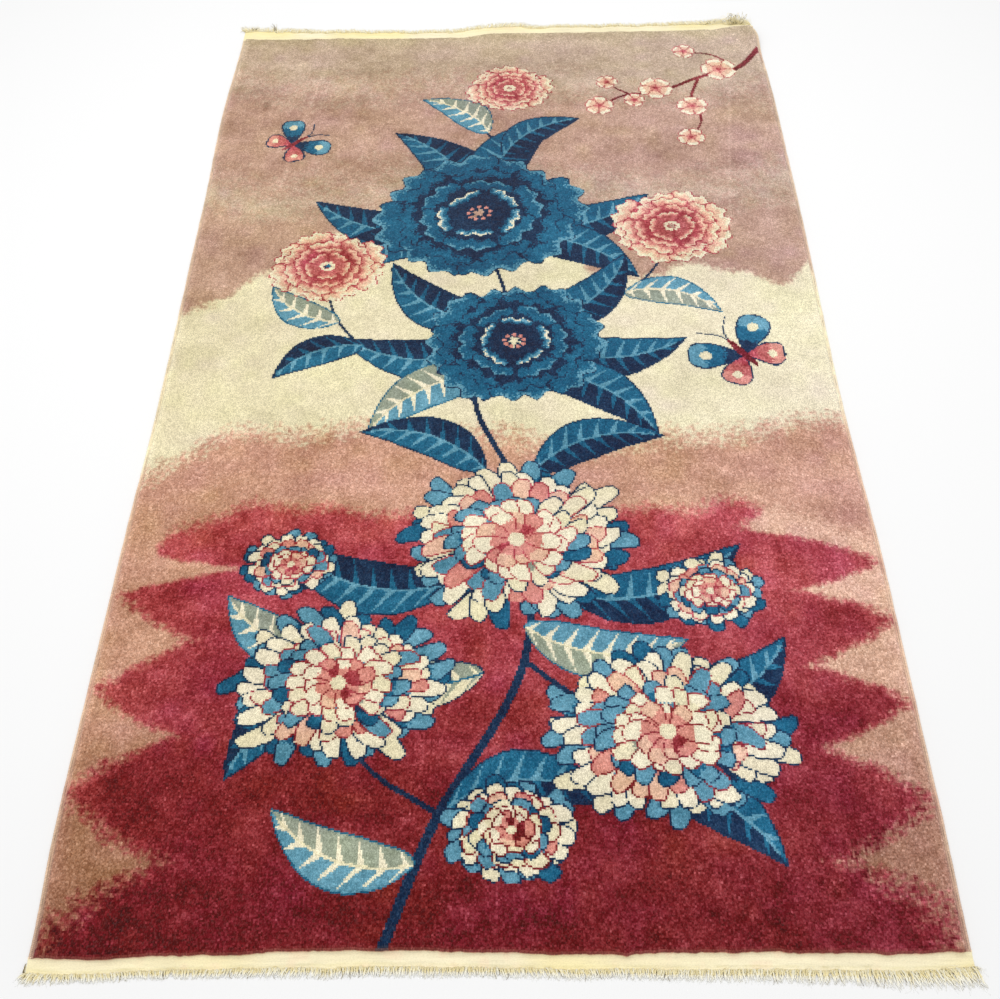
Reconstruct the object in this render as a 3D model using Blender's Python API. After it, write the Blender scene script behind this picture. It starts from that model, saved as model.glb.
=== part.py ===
"""A hand-knotted pile rug lying flat on the floor, with one corner a little curled up.

The wool pile field has an overcast cord along each long side. Across each end lies a flat-woven
cotton web, whose outer edge is frayed into locks of warp ends. Metres, +Z up, underside on z = 0.
+Y points from the near end to the far end. The origin is at the middle of the underside.
"""

import math
import random
from collections import namedtuple

import bmesh
import bpy
from mathutils import Vector

MM = 0.001

# Driving sizes
RUG_WIDTH = 1.220  # over both overcast cords
PILE_LENGTH = 2.080  # from web to web
PILE_HEIGHT = 10.5 * MM  # the knotted foundation and the pile together
RIM_RADIUS = 3 * MM  # where the pile's sides turn over into its top
WEB_HEIGHT = 2.4 * MM
CORD_WIDTH = 8 * MM
CORD_HEIGHT = 6 * MM
GAP = 0.3 * MM  # between touching pieces
STATION = 60 * MM  # step of the plan's stations, which neighbours share

# How far each long side stands out past half the width, by y, as on a rug tied by hand. Millimetres.
Side = namedtuple("Side", "y left right")
SIDES = (
    Side(y=-1040, left=3, right=3),
    Side(y=-850, left=9, right=6),
    Side(y=-450, left=7, right=7),
    Side(y=-100, left=2, right=0),
    Side(y=420, left=4, right=5),
    Side(y=750, left=9, right=5),
    Side(y=1040, left=1, right=-2),
)
# By x, for each end: how far the pile stands out, the web's width and the fringe's length. Millimetres.
End = namedtuple("End", "x near_pile near_web near_fringe far_pile far_web far_fringe")
ENDS = (
    End(x=-610, near_pile=1, near_web=20, near_fringe=10, far_pile=0, far_web=40, far_fringe=16),
    End(x=-540, near_pile=3, near_web=19, near_fringe=8, far_pile=-4, far_web=38, far_fringe=14),
    End(x=-400, near_pile=-2, near_web=19, near_fringe=8, far_pile=-4, far_web=34, far_fringe=11),
    End(x=-200, near_pile=-8, near_web=22, near_fringe=10, far_pile=-9, far_web=33, far_fringe=10),
    End(x=-100, near_pile=-8, near_web=22, near_fringe=10, far_pile=-7, far_web=34, far_fringe=12),
    End(x=0, near_pile=-4, near_web=20, near_fringe=9, far_pile=7, far_web=38, far_fringe=14),
    End(x=120, near_pile=-1, near_web=19, near_fringe=9, far_pile=5, far_web=32, far_fringe=10),
    End(x=320, near_pile=-4, near_web=23, near_fringe=12, far_pile=6, far_web=32, far_fringe=10),
    End(x=450, near_pile=-2, near_web=22, near_fringe=15, far_pile=6, far_web=32, far_fringe=11),
    End(x=530, near_pile=0, near_web=21, near_fringe=18, far_pile=9, far_web=31, far_fringe=16),
    End(x=610, near_pile=-4, near_web=22, near_fringe=22, far_pile=6, far_web=28, far_fringe=20),
)

# The far right corner curls up a little, and its web droops behind it
CURL_HEIGHT = 12 * MM
CURL_REACH = 110 * MM  # from the pile's corner inwards
CURL_DROOP = 34 * MM  # from the pile's end outwards

PILE_WAVE = 0.7 * MM  # how uneven the worn top is
PILE_WAVE_X = 0.43  # between its rises, across the rug
PILE_WAVE_Y = 0.61  # and along it

# The overcast cord's section. inward is a share of its width from the outer edge, up of its height.
SectionPoint = namedtuple("SectionPoint", "inward up")
CORD_SECTION = (
    SectionPoint(inward=0.0, up=0.50),
    SectionPoint(inward=0.12, up=0.16),
    SectionPoint(inward=0.34, up=0.0),
    SectionPoint(inward=0.90, up=0.0),
    SectionPoint(inward=1.0, up=0.14),
    SectionPoint(inward=1.0, up=0.82),
    SectionPoint(inward=0.70, up=1.0),
    SectionPoint(inward=0.26, up=0.92),
)

# The fringe's locks
LOCKS = 150  # across each end
ROOT_SHARE = 0.44  # of the pitch that a lock's root fills
TIP_WIDTH = 0.45  # share of the root's
TIP_HEIGHT = 0.40  # share of the web's
MOST_LEAN = 24.0  # degrees that a stretch of fringe leans sideways
STRAY_LEAN = 5.0  # degrees that one lock differs from its neighbours
SHORTEST, LONGEST = 0.72, 1.20  # shares of the fringe's length at a lock


# --- the plan ---------------------------------------------------------------------------------------


def smooth(share):
    """Eases a share from 0 to 1, with level ends."""
    share = min(max(share, 0.0), 1.0)
    return share * share * (3 - 2 * share)


def eased(rows, key, place, column):
    """A column of a table at a place in metres, easing from row to row."""
    here = place / MM
    if here <= getattr(rows[0], key):
        return getattr(rows[0], column) * MM
    for low, high in zip(rows, rows[1:]):
        start, stop = getattr(low, key), getattr(high, key)
        if here <= stop:
            first, last = getattr(low, column), getattr(high, column)
            return (first + (last - first) * smooth((here - start) / (stop - start))) * MM
    return getattr(rows[-1], column) * MM


def between_stations(rows, key, place, column):
    """The eased column as straight runs between the stations, so that neighbours keep their gap."""
    below = math.floor(place / STATION) * STATION
    share = (place - below) / STATION
    first = eased(rows, key, below, column)
    last = eased(rows, key, below + STATION, column)
    return first + (last - first) * share


def side_x(y, hand, inward=0.0):
    """A line along a long side, inward from its outer edge. hand is -1 on the left, 1 on the right."""
    column = "left" if hand < 0 else "right"
    return hand * (RUG_WIDTH / 2 + between_stations(SIDES, "y", y, column) - inward)


def end_figure(x, end, layer):
    """What the table says of an end's pile, web or fringe at x."""
    return between_stations(ENDS, "x", x, f"{end}_{layer}")


def end_hand(end):
    return -1 if end == "near" else 1


def end_y(x, end, outward=0.0):
    """A line along an end, outward from the pile's edge."""
    return end_hand(end) * (PILE_LENGTH / 2 + end_figure(x, end, "pile") + outward)


def stations(low, high):
    """The stations between two places, with none close to either."""
    first = math.ceil(low / STATION + 0.4)
    last = math.floor(high / STATION - 0.4)
    return [i * STATION for i in range(first, last + 1)]


def lift(x, y):
    """How far the curled corner is off the floor at a place."""
    corner_x = RUG_WIDTH / 2 - CORD_WIDTH
    corner_y = end_y(corner_x, "far")
    inward = math.hypot(corner_x - min(x, corner_x), corner_y - min(y, corner_y))
    outward = max(y - end_y(x, "far"), 0.0)
    return CURL_HEIGHT * smooth(1 - inward / CURL_REACH) * smooth(1 - outward / CURL_DROOP)


# --- making pieces ----------------------------------------------------------------------------------


def material(name, colour, roughness):
    made = bpy.data.materials.new(name)
    made.use_nodes = True
    shader = made.node_tree.nodes["Principled BSDF"]
    shader.inputs["Base Color"].default_value = (*colour, 1.0)
    shader.inputs["Roughness"].default_value = roughness
    shader.inputs["Metallic"].default_value = 0.0
    return made


def add_piece(name, bm, finish):
    """Turns the faces out and adds the mesh to the scene under its name."""
    bmesh.ops.recalc_face_normals(bm, faces=bm.faces)
    mesh = bpy.data.meshes.new(name)
    bm.to_mesh(mesh)
    bm.free()
    mesh.materials.append(finish)
    obj = bpy.data.objects.new(name, mesh)
    bpy.context.scene.collection.objects.link(obj)
    return obj


def closed_slab(rows, height):
    """A slab between its underside and its top. rows is a grid of (x, y) and height(row, column) is
    how far the top is above the underside there. Returns the mesh, its grid of top points and the
    rows and columns round its rim."""
    bm = bmesh.new()
    last_row, last_column = len(rows) - 1, len(rows[0]) - 1
    under = [[bm.verts.new((x, y, lift(x, y))) for x, y in row] for row in rows]
    top = [
        [bm.verts.new(vert.co + Vector((0, 0, height(r, c)))) for c, vert in enumerate(row)]
        for r, row in enumerate(under)
    ]
    for r in range(last_row):
        for c in range(last_column):
            for sheet in (under, top):
                bm.faces.new((sheet[r][c], sheet[r][c + 1], sheet[r + 1][c + 1], sheet[r + 1][c]))
    rim = [(0, c) for c in range(last_column)]
    rim += [(r, last_column) for r in range(last_row)]
    rim += [(last_row, c) for c in range(last_column, 0, -1)]
    rim += [(r, 0) for r in range(last_row, 0, -1)]
    for (r, c), (next_r, next_c) in zip(rim, rim[1:] + rim[:1]):
        bm.faces.new((under[r][c], under[next_r][next_c], top[next_r][next_c], top[r][c]))
    return bm, top, rim


# --- the pieces -------------------------------------------------------------------------------------


def pile_field(finish):
    """The knotted field, with its rounded rim and its slightly uneven worn top."""
    inward = CORD_WIDTH + GAP
    xs = ["left"] + stations(side_x(0, -1), side_x(0, 1)) + ["right"]
    ys = ["near"] + stations(end_y(0, "near"), end_y(0, "far")) + ["far"]
    hands = {"left": -1, "right": 1}

    def place(column, row):
        """A grid point, which lies on the outline at the grid's edges."""
        x = 0.0 if column in hands else column
        y = 0.0 if row in ("near", "far") else row
        for _ in range(4):  # a corner lies on both a side and an end
            if column in hands:
                x = side_x(y, hands[column], inward)
            if row in ("near", "far"):
                y = end_y(x, row)
        return x, y

    rows = [[place(column, row) for column in xs] for row in ys]

    def height(r, c):
        if r in (0, len(ys) - 1) or c in (0, len(xs) - 1):
            return PILE_HEIGHT
        turn_x = math.tau * xs[c] / PILE_WAVE_X
        turn_y = math.tau * ys[r] / PILE_WAVE_Y
        return PILE_HEIGHT + PILE_WAVE * math.sin(turn_x + math.sin(turn_y)) * math.cos(turn_y)

    bm, top, rim = closed_slab(rows, height)
    corners = [top[r][c] for r, c in rim]
    edges = [bm.edges.get(pair) for pair in zip(corners, corners[1:] + corners[:1])]
    bmesh.ops.bevel(bm, geom=edges, offset=RIM_RADIUS, segments=2, profile=0.5, affect="EDGES")
    return add_piece("pile_field", bm, finish)


def lean(x):
    """How far the fringe leans sideways at x, in radians."""
    return math.radians(MOST_LEAN) * (0.6 * math.sin(9 * x + 1) + 0.4 * math.sin(23 * x))


def end_strip(end, finish, seed):
    """The web across one end, with its outer edge frayed into locks that lie on the floor."""
    chance = random.Random(seed)
    left, right = (side_x(end_y(0, end), hand) for hand in (-1, 1))
    pitch = (right - left) / LOCKS
    half_root = pitch * ROOT_SHARE / 2
    middles = [left + (lock + 0.5) * pitch for lock in range(LOCKS)]
    xs = [left] + [middle + half for middle in middles for half in (-half_root, half_root)] + [right]
    inner = [(x, end_y(x, end, GAP)) for x in xs]
    outer = [(x, end_y(x, end, end_figure(x, end, "web"))) for x in xs]
    bm, top, _ = closed_slab([inner, outer], lambda r, c: WEB_HEIGHT)
    roots = [bm.edges.get((top[1][1 + 2 * lock], top[1][2 + 2 * lock])) for lock in range(LOCKS)]
    for middle, edge in zip(middles, roots):
        wall = next(face for face in edge.link_faces if is_outer_wall(face))
        length = end_figure(middle, end, "fringe") * chance.uniform(SHORTEST, LONGEST)
        turn = lean(middle) + math.radians(chance.uniform(-STRAY_LEAN, STRAY_LEAN))
        draw_out(bm, wall, length, turn, end_hand(end))
    return add_piece(f"end_{end}", bm, finish)


def is_outer_wall(face):
    """True for an upright face, whose points lie in pairs one above the other."""
    return len({(vert.co.x, vert.co.y) for vert in face.verts}) == 2


def draw_out(bm, wall, length, turn, hand):
    """Extrudes one lock from its root in the web's outer wall, tapering to its tip on the floor."""
    drawn = bmesh.ops.extrude_discrete_faces(bm, faces=[wall])["faces"][0]
    root = drawn.calc_center_median()
    for vert in drawn.verts:
        up = vert.co.z - lift(vert.co.x, vert.co.y)
        x = root.x + (vert.co.x - root.x) * TIP_WIDTH + length * math.sin(turn)
        y = vert.co.y + hand * length * math.cos(turn)
        vert.co = (x, y, lift(x, y) + up * TIP_HEIGHT)


def overcast_cord(side, hand, finish):
    """The wool-wrapped cord along one long side, with a closed face at each end."""
    start, stop = (end_y(side_x(0, hand), end) for end in ("near", "far"))
    ys = [start + RIM_RADIUS] + stations(start, stop) + [stop - RIM_RADIUS]
    bm = bmesh.new()
    rings = []
    for y in ys:
        ring = []
        for point in CORD_SECTION:
            x = side_x(y, hand, point.inward * CORD_WIDTH)
            ring.append(bm.verts.new((x, y, lift(x, y) + point.up * CORD_HEIGHT)))
        rings.append(ring)
    for ring, following in zip(rings, rings[1:]):
        for i in range(len(ring)):
            j = (i + 1) % len(ring)
            bm.faces.new((ring[i], ring[j], following[j], following[i]))
    for ring in (rings[0], rings[-1]):
        bm.faces.new(ring)
    cord = add_piece(f"overcast_{side}", bm, finish)
    cord.data.shade_smooth()
    cord.data.set_sharp_from_angle(angle=math.radians(45))
    return cord


def centre_in_plan(pieces):
    """Moves the meshes so that the middle of the whole outline is at the origin."""
    points = [vertex.co for piece in pieces for vertex in piece.data.vertices]
    for axis in (0, 1):
        places = [point[axis] for point in points]
        middle = (min(places) + max(places)) / 2
        for point in points:
            point[axis] -= middle


def main():
    for obj in list(bpy.data.objects):
        bpy.data.objects.remove(obj)
    wine_wool = material("wine_wool", (0.20, 0.022, 0.040), 0.95)
    tan_wool = material("tan_wool", (0.36, 0.22, 0.15), 0.9)
    cream_cotton = material("cream_cotton", (0.86, 0.78, 0.56), 0.9)
    pieces = [
        pile_field(wine_wool),
        end_strip("near", cream_cotton, seed=11),
        end_strip("far", cream_cotton, seed=23),
        overcast_cord("left", -1, tan_wool),
        overcast_cord("right", 1, tan_wool),
    ]
    centre_in_plan(pieces)


main()
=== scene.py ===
"""The looks of a hand-knotted floral pile rug, lying on a pale floor under soft light.

Every knot of the wool pile is one face of the pile's mesh, with its yarn's colour. A flower design is
charted knot by knot from leaves, petals and stems. The cotton webs, their frayed warp ends and the
overcast sides are meshes of their own. Metres, +Z up, and +Y points to the rug's far end.
"""

import math
from collections import namedtuple

import bpy
import numpy as np
from mathutils import Matrix, Vector


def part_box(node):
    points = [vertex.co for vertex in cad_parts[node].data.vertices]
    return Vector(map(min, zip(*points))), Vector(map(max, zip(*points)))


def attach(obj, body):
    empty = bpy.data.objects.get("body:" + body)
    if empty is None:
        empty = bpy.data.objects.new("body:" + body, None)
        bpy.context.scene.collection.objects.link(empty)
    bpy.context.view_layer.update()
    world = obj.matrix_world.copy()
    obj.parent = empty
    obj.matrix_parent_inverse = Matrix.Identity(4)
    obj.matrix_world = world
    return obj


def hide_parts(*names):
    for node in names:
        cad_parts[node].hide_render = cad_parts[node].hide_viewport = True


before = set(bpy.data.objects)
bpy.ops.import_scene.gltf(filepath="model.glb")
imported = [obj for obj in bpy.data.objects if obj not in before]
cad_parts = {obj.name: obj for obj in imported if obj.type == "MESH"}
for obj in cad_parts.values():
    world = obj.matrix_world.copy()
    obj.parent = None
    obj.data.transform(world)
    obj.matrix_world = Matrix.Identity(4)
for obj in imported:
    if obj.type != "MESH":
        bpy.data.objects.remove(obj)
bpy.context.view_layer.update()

MM = 0.001

# --- driving sizes, as the frame has them -----------------------------------------------------------

RUG_WIDTH = 1.220  # over both overcast sides
PILE_LENGTH = 2.080
PILE_HEIGHT = 10.5 * MM
WEB_HEIGHT = 2.4 * MM
CORD_WIDTH = 8 * MM
GAP = 0.3 * MM  # between neighbouring solids
STATION = 60 * MM  # between the frame's points along the pile's edges
STATIONS_ACROSS = 9  # to each side of the rug's middle
STATIONS_ALONG = 17

# How far each long side stands out past half the width, by y. Millimetres.
Side = namedtuple("Side", "y left right")
SIDES = (
    Side(-1040, 3, 3),
    Side(-850, 9, 6),
    Side(-450, 7, 7),
    Side(-100, 2, 0),
    Side(420, 4, 5),
    Side(750, 9, 5),
    Side(1040, 1, -2),
)
# By x, for each end: how far the pile stands out, the web's width and the fringe's length. Millimetres.
End = namedtuple("End", "x near_pile near_web near_fringe far_pile far_web far_fringe")
ENDS = (
    End(-610, 1, 20, 10, 0, 40, 16),
    End(-540, 3, 19, 8, -4, 38, 14),
    End(-400, -2, 19, 8, -4, 34, 11),
    End(-200, -8, 22, 10, -9, 33, 10),
    End(-100, -8, 22, 10, -7, 34, 12),
    End(0, -4, 20, 9, 7, 38, 14),
    End(120, -1, 19, 9, 5, 32, 10),
    End(320, -4, 23, 12, 6, 32, 10),
    End(450, -2, 22, 15, 6, 32, 11),
    End(530, 0, 21, 18, 9, 31, 16),
    End(610, -4, 22, 22, 6, 28, 20),
)
CORNER_ROUNDING = 9 * MM  # of the far right corner, over the end of its side
CORNER_LENGTH = 40 * MM
CORNER_ROUNDNESS = 2.5
CURL_HEIGHT = 12 * MM  # of the same corner
CURL_REACH = 110 * MM  # from the pile's corner inwards
CURL_DROOP = 34 * MM  # from the pile's end outwards

# The worn top's waves: their height, and their lengths across and along the rug
PILE_WAVE = 0.7 * MM
PILE_WAVE_X = 0.43
PILE_WAVE_Y = 0.61

# --- the plan ---------------------------------------------------------------------------------------


def smooth(share):
    """A share, held between 0 and 1, that eases out of the one and into the other."""
    share = np.clip(share, 0.0, 1.0)
    return share * share * (3 - 2 * share)


def eased(rows, key, places, column):
    """A table's column at places in metres, easing from row to row."""
    keys = np.array([getattr(row, key) for row in rows]) * MM
    values = np.array([getattr(row, column) for row in rows]) * MM
    at = np.clip(np.searchsorted(keys, places) - 1, 0, len(keys) - 2)
    share = smooth((places - keys[at]) / (keys[at + 1] - keys[at]))
    return values[at] + (values[at + 1] - values[at]) * share


def side_x(y, hand, inward=0.0):
    """A line along a long side, inward from its outer edge. hand is -1 on the left, 1 on the right."""
    column = "left" if hand < 0 else "right"
    if hand > 0:
        to_corner = np.clip((y - PILE_LENGTH / 2) / CORNER_LENGTH + 1, 0, 1)
        inward = inward + CORNER_ROUNDING * to_corner**CORNER_ROUNDNESS
    return hand * (RUG_WIDTH / 2 + eased(SIDES, "y", y, column) - inward)


def end_figure(x, end, layer):
    return eased(ENDS, "x", x, f"{end}_{layer}")


def end_hand(end):
    return -1 if end == "near" else 1


def end_seed(near_seed, end):
    return near_seed + (end == "far")


def end_y(x, end, outward=0.0):
    """A line along an end, outward from the pile's edge."""
    return end_hand(end) * (PILE_LENGTH / 2 + end_figure(x, end, "pile") + outward)


def lift(x, y):
    """How far the curled corner is off the floor."""
    corner_x = RUG_WIDTH / 2 - CORD_WIDTH
    corner_y = end_y(np.array(corner_x), "far")
    inward = np.hypot(corner_x - np.minimum(x, corner_x), corner_y - np.minimum(y, corner_y))
    outward = np.maximum(y - end_y(x, "far"), 0.0)
    return CURL_HEIGHT * smooth(1 - inward / CURL_REACH) * smooth(1 - outward / CURL_DROOP)


def plan_origin():
    """Where the frame has the middle of the plan, from how far the pile's outline reaches in it."""
    low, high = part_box("pile_field")
    station_y = STATION * np.arange(-STATIONS_ALONG, STATIONS_ALONG + 1)
    station_x = STATION * np.arange(-STATIONS_ACROSS, STATIONS_ACROSS + 1)
    left = eased(SIDES, "y", station_y, "left").max()
    far = eased(ENDS, "x", station_x, "far_pile").max()
    x = low.x + RUG_WIDTH / 2 + left - CORD_WIDTH - GAP
    y = high.y - PILE_LENGTH / 2 - far
    return np.array((x, y, 0.0))


ORIGIN = plan_origin()

CLOUD_PERIOD = 256  # lumps before the unevenness repeats


def cloud(x, y, size, seed, stretch=1.0):
    """Smooth unevenness of about -1 to 1, in lumps of about a size, and stretch times that along x."""
    rough = np.random.default_rng(seed).normal(0.0, 0.7, (CLOUD_PERIOD, CLOUD_PERIOD))
    u, v = x / (size * stretch), y / size
    column, row = np.floor(u).astype(int), np.floor(v).astype(int)
    share_x, share_y = smooth(u - column), smooth(v - row)

    def corner(right, up):
        return rough[(row + up) % CLOUD_PERIOD, (column + right) % CLOUD_PERIOD]

    near = corner(0, 0) + (corner(1, 0) - corner(0, 0)) * share_x
    far = corner(0, 1) + (corner(1, 1) - corner(0, 1)) * share_x
    return near + (far - near) * share_y


def clouds(x, y, *layers):
    """A sum of unevennesses, each given as its height, size, seed and, if it isn't 1, its stretch."""
    return sum(height * cloud(x, y, *layer) for height, *layer in layers)


def ripple(places, size, seed):
    """Unevenness along a line."""
    return cloud(places, 0 * places, size, seed)


def toward(colour, other, share):
    """Colours with a share of another mixed in, where each has its own share."""
    return colour + (other - colour) * share[..., None]


# --- the knots' chart -------------------------------------------------------------------------------

KNOT = 2.9 * MM
FIELD_WIDTH = RUG_WIDTH - 2 * (CORD_WIDTH + GAP)
COLUMNS = round(FIELD_WIDTH / KNOT)
ROWS = round(PILE_LENGTH / KNOT)

# The yarns, as red, green and blue of the screen. In the same steps, mottle is how much darker or paler
# a yarn's pile gets from place to place, from its dye and as painted sheen, grain how much its knots
# differ one by one, and drift how far its dye wanders between a pink and a yellow cast.
Yarn = namedtuple("Yarn", "red green blue mottle grain drift")
YARNS = {
    "mauve": Yarn(184, 147, 127, 6, 9, 2),
    "taupe": Yarn(190, 165, 142, 6, 9, 2),
    "cream": Yarn(229, 218, 183, 4, 1, 2),
    "ivory": Yarn(236, 226, 197, 4, 3, 1),
    "rose": Yarn(196, 147, 123, 6, 12, 2),
    "brick": Yarn(178, 88, 84, 7, 14, 2),
    "burgundy": Yarn(168, 62, 68, 9, 15, 3),
    "wine": Yarn(105, 8, 17, 14, 17, 3),
    "sand": Yarn(214, 169, 143, 6, 14, 2),
    "tan": Yarn(154, 106, 82, 6, 17, 2),
    "navy": Yarn(2, 34, 66, 5, 8, 0),
    "teal": Yarn(12, 88, 120, 6, 8, 0),
    "sky": Yarn(90, 145, 166, 6, 8, 0),
    "sage": Yarn(144, 152, 134, 5, 7, 2),
    "pink": Yarn(212, 138, 124, 6, 8, 2),
    "peach": Yarn(227, 184, 156, 5, 7, 2),
}
YARN_CODES = {name: code for code, name in enumerate(YARNS)}

# The chart is drawn in millimetres from the field's middle, with y towards the far end.
knot_x = ((np.arange(COLUMNS) + 0.5) / COLUMNS - 0.5) * FIELD_WIDTH / MM
knot_y = ((np.arange(ROWS) + 0.5) / ROWS - 0.5) * PILE_LENGTH / MM
KNOT_X, KNOT_Y = np.meshgrid(knot_x, knot_y)
GRAIN = np.random.default_rng(7).random((ROWS, COLUMNS))
chart = np.zeros((ROWS, COLUMNS), np.int8)


def lay(mask, yarn):
    chart[mask] = YARN_CODES[yarn]


def stippled(depth, softness):
    """True inside, where depth is over 0, with single knots scattered across the edge."""
    return depth / softness + 0.5 > GRAIN


def waves(places, *terms):
    """A sum of waves, each with its height, its length and its start."""
    return sum(height * np.sin(math.tau * places / length + start) for height, length, start in terms)


# The upper edges of the lower grounds: a level, waves by height, length and start, how far the patches
# of dye move them, and falls by depth, place and reach, which is below 0 where they fall to the left
Edge = namedtuple("Edge", "level waves patches falls")
EDGES = {
    "cream": Edge(
        level=300,
        waves=((95, 980, 2.6), (30, 310, 0.4), (9, 120, 1.0)),
        patches=0.3,
        falls=((110, -380, -230), (80, 430, 150)),
    ),
    "rose": Edge(
        level=-180,
        waves=((20, 900, 3.46), (8, 260, 1.2)),
        patches=0.3,
        falls=((60, -440, -160),),
    ),
    "burgundy": Edge(
        level=-343,
        waves=((9, 420, 0.8), (5, 130, 2.0)),
        patches=0.2,
        falls=((45, -380, -220), (45, 380, 220), (25, 390, 70), (60, -520, -60)),
    ),
}
BRICK_RIM = 10  # how far the brick shows above the burgundy
# The pale teeth along a side: where their tips are, and the notches between them
Teeth = namedtuple("Teeth", "hand yarn tips notches")
TEETH = (
    Teeth(hand=-1, yarn="rose", tips=(-450, -574, -730, -912), notches=(-396, -488, -658, -815, -1025)),
    Teeth(hand=1, yarn="sand", tips=(-382, -498, -628, -757, -915), notches=(-450, -557, -692, -838, -1015)),
)
TOOTH_REACH = 132
FIRST_TOOTH = 70  # how much further the uppermost tooth reaches
TOOTH_HEAD = 28  # how far the teeth's ground goes on above the burgundy


def tooth_depth(y, teeth):
    """How far in from their side the ground outside the teeth reaches."""
    places = np.array(teeth.tips + teeth.notches)
    shares = np.array([1.0] * len(teeth.tips) + [0.0] * len(teeth.notches))
    order = np.argsort(places)
    share = np.interp(y, places[order], shares[order])
    reach = TOOTH_REACH + FIRST_TOOTH * smooth(1 - abs(y - teeth.tips[0]) / 60)
    return 2 + reach * (0.6 * share + 0.4 * share**2)


def chart_grounds():
    """The bands of plain ground, and the teeth along both sides of the lowest."""
    x, y = KNOT_X, KNOT_Y
    lay(y == y, "mauve")
    patchy = clouds(x, y, (30, 60, 31, 2.5), (14, 16, 32))
    lay(stippled(y - 790 - patchy - 50 * smooth((200 - x) / 300), 150), "taupe")
    lay(stippled(40 - abs(y - 480 - waves(x, (30, 800, 2.0), (10, 200, 1))) + patchy, 120), "taupe")
    under = {}  # how far each knot lies below a ground's upper edge
    for yarn, edge in EDGES.items():
        falls = sum(depth * smooth((x - place) / reach) for depth, place, reach in edge.falls)
        under[yarn] = edge.level + waves(x, *edge.waves) + patchy * edge.patches - falls - y
    lay(stippled(under["cream"], 22), "cream")
    lay(stippled(under["rose"], 66), "rose")
    lay(stippled(under["burgundy"] + BRICK_RIM, 34), "brick")
    lay(stippled(under["burgundy"], 26), "burgundy")
    for teeth in TEETH:
        rim = FIELD_WIDTH / MM / 2 - tooth_depth(y + patchy * 0.15, teeth) - patchy * 0.25
        softness = 34 + 44 * smooth((-720 - y) / 260)
        lay(stippled(teeth.hand * x - rim + 8, softness + 10) & (under["burgundy"] > 0), "brick")
        head = stippled(under["burgundy"] + TOOTH_HEAD, 40)
        lay(stippled(teeth.hand * x - rim, softness) & head, teeth.yarn)


def knots_near(x, y, reach):
    """The part of the chart within reach of a point."""
    column = (x / (FIELD_WIDTH / MM) + 0.5) * COLUMNS
    row = (y / (PILE_LENGTH / MM) + 0.5) * ROWS
    steps = reach * MM / KNOT + 1
    rows = slice(max(int(row - steps), 0), max(int(row + steps) + 1, 0))
    columns = slice(max(int(column - steps), 0), max(int(column + steps) + 1, 0))
    return rows, columns


class Blade:
    """A leaf or a petal. along goes from 0 at its root to 1 at its tip, side from -1 to 1 across it."""

    def __init__(self, x, y, length, turn, width, bend=0.0, root=0.8, tip=0.8, lobes=0, lobe=0.05):
        self.area = knots_near(x, y, length + width)
        dx, dy = KNOT_X[self.area] - x, KNOT_Y[self.area] - y
        along = (dx * math.cos(turn) + dy * math.sin(turn)) / length
        across = dy * math.cos(turn) - dx * math.sin(turn) - bend * length * 4 * along * (1 - along)
        if lobes:
            along = along * (1 + lobe * np.cos(lobes * math.pi * np.clip(2 * across / width, -1, 1)))
        held = np.clip(along, 0.001, 0.999)
        widest = root / (root + tip)
        half = width / 2 * (held / widest) ** root * ((1 - held) / (1 - widest)) ** tip
        self.along, self.across = along, across
        self.side = across / np.maximum(half, 0.01)
        self.inside = (along > 0) & (along < 1) & (abs(self.side) < 1)
        self.depth = np.minimum((1 - abs(self.side)) * half, (1 - along) * length)
        self.grain = GRAIN[self.area]

    def lay(self, mask, yarn):
        chart[self.area][mask & self.inside] = YARN_CODES[yarn]


def chart_petal(x, y, length, turn, width, yarns, line=None, thick=2.6, start=0.0, **shape):
    """A petal with an outline, shaded through its yarns from a share of its length to its tip."""
    petal = Blade(x, y, length, turn, width, **shape)
    steps = (petal.along - start + 0.10 * (petal.grain - 0.5)) / (1 - start) * len(yarns)
    steps = np.clip(steps, 0, len(yarns) - 1).astype(int)
    for step, yarn in enumerate(yarns):
        petal.lay(steps == step, yarn)
    if line:
        petal.lay(petal.depth < thick, line)
    return petal


LeafTints = namedtuple("LeafTints", "lit lit_vein dark dark_vein rib line")
BLUE_LEAF = LeafTints("teal", "sky", "navy", "teal", "sky", "navy")
SAGE_LEAF = LeafTints("sky", "ivory", "sage", "ivory", "cream", "teal")
CREAM_LEAF = LeafTints("cream", "sage", "sage", "cream", "teal", "navy")
VEIN_STEP = 30  # millimetres along a leaf from one side vein to the next
RIB = 2.0  # half a midrib's width in millimetres
LEAF_LINE = 2.8  # the width of a leaf's outline in millimetres


def chart_leaf(x, y, length, turn, width, bend, tints=BLUE_LEAF):
    """A pointed leaf, darker on one side, with a midrib and side veins that taper towards its edge."""
    leaf = Blade(x, y, length, turn, width, bend=bend, root=0.62, tip=0.9)
    lit = leaf.side >= 0
    from_rib = abs(leaf.side)
    veins = (leaf.along * length / VEIN_STEP - from_rib * 0.9) % 1.0 < 0.40 - 0.42 * from_rib
    veins &= leaf.along < 0.92
    leaf.lay(lit, tints.lit)
    leaf.lay(~lit, tints.dark)
    leaf.lay(lit & veins, tints.lit_vein)
    leaf.lay(~lit & veins, tints.dark_vein)
    leaf.lay((abs(leaf.across) < RIB) & (leaf.along < 0.93), tints.rib)
    leaf.lay(leaf.depth < LEAF_LINE, tints.line)


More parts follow.
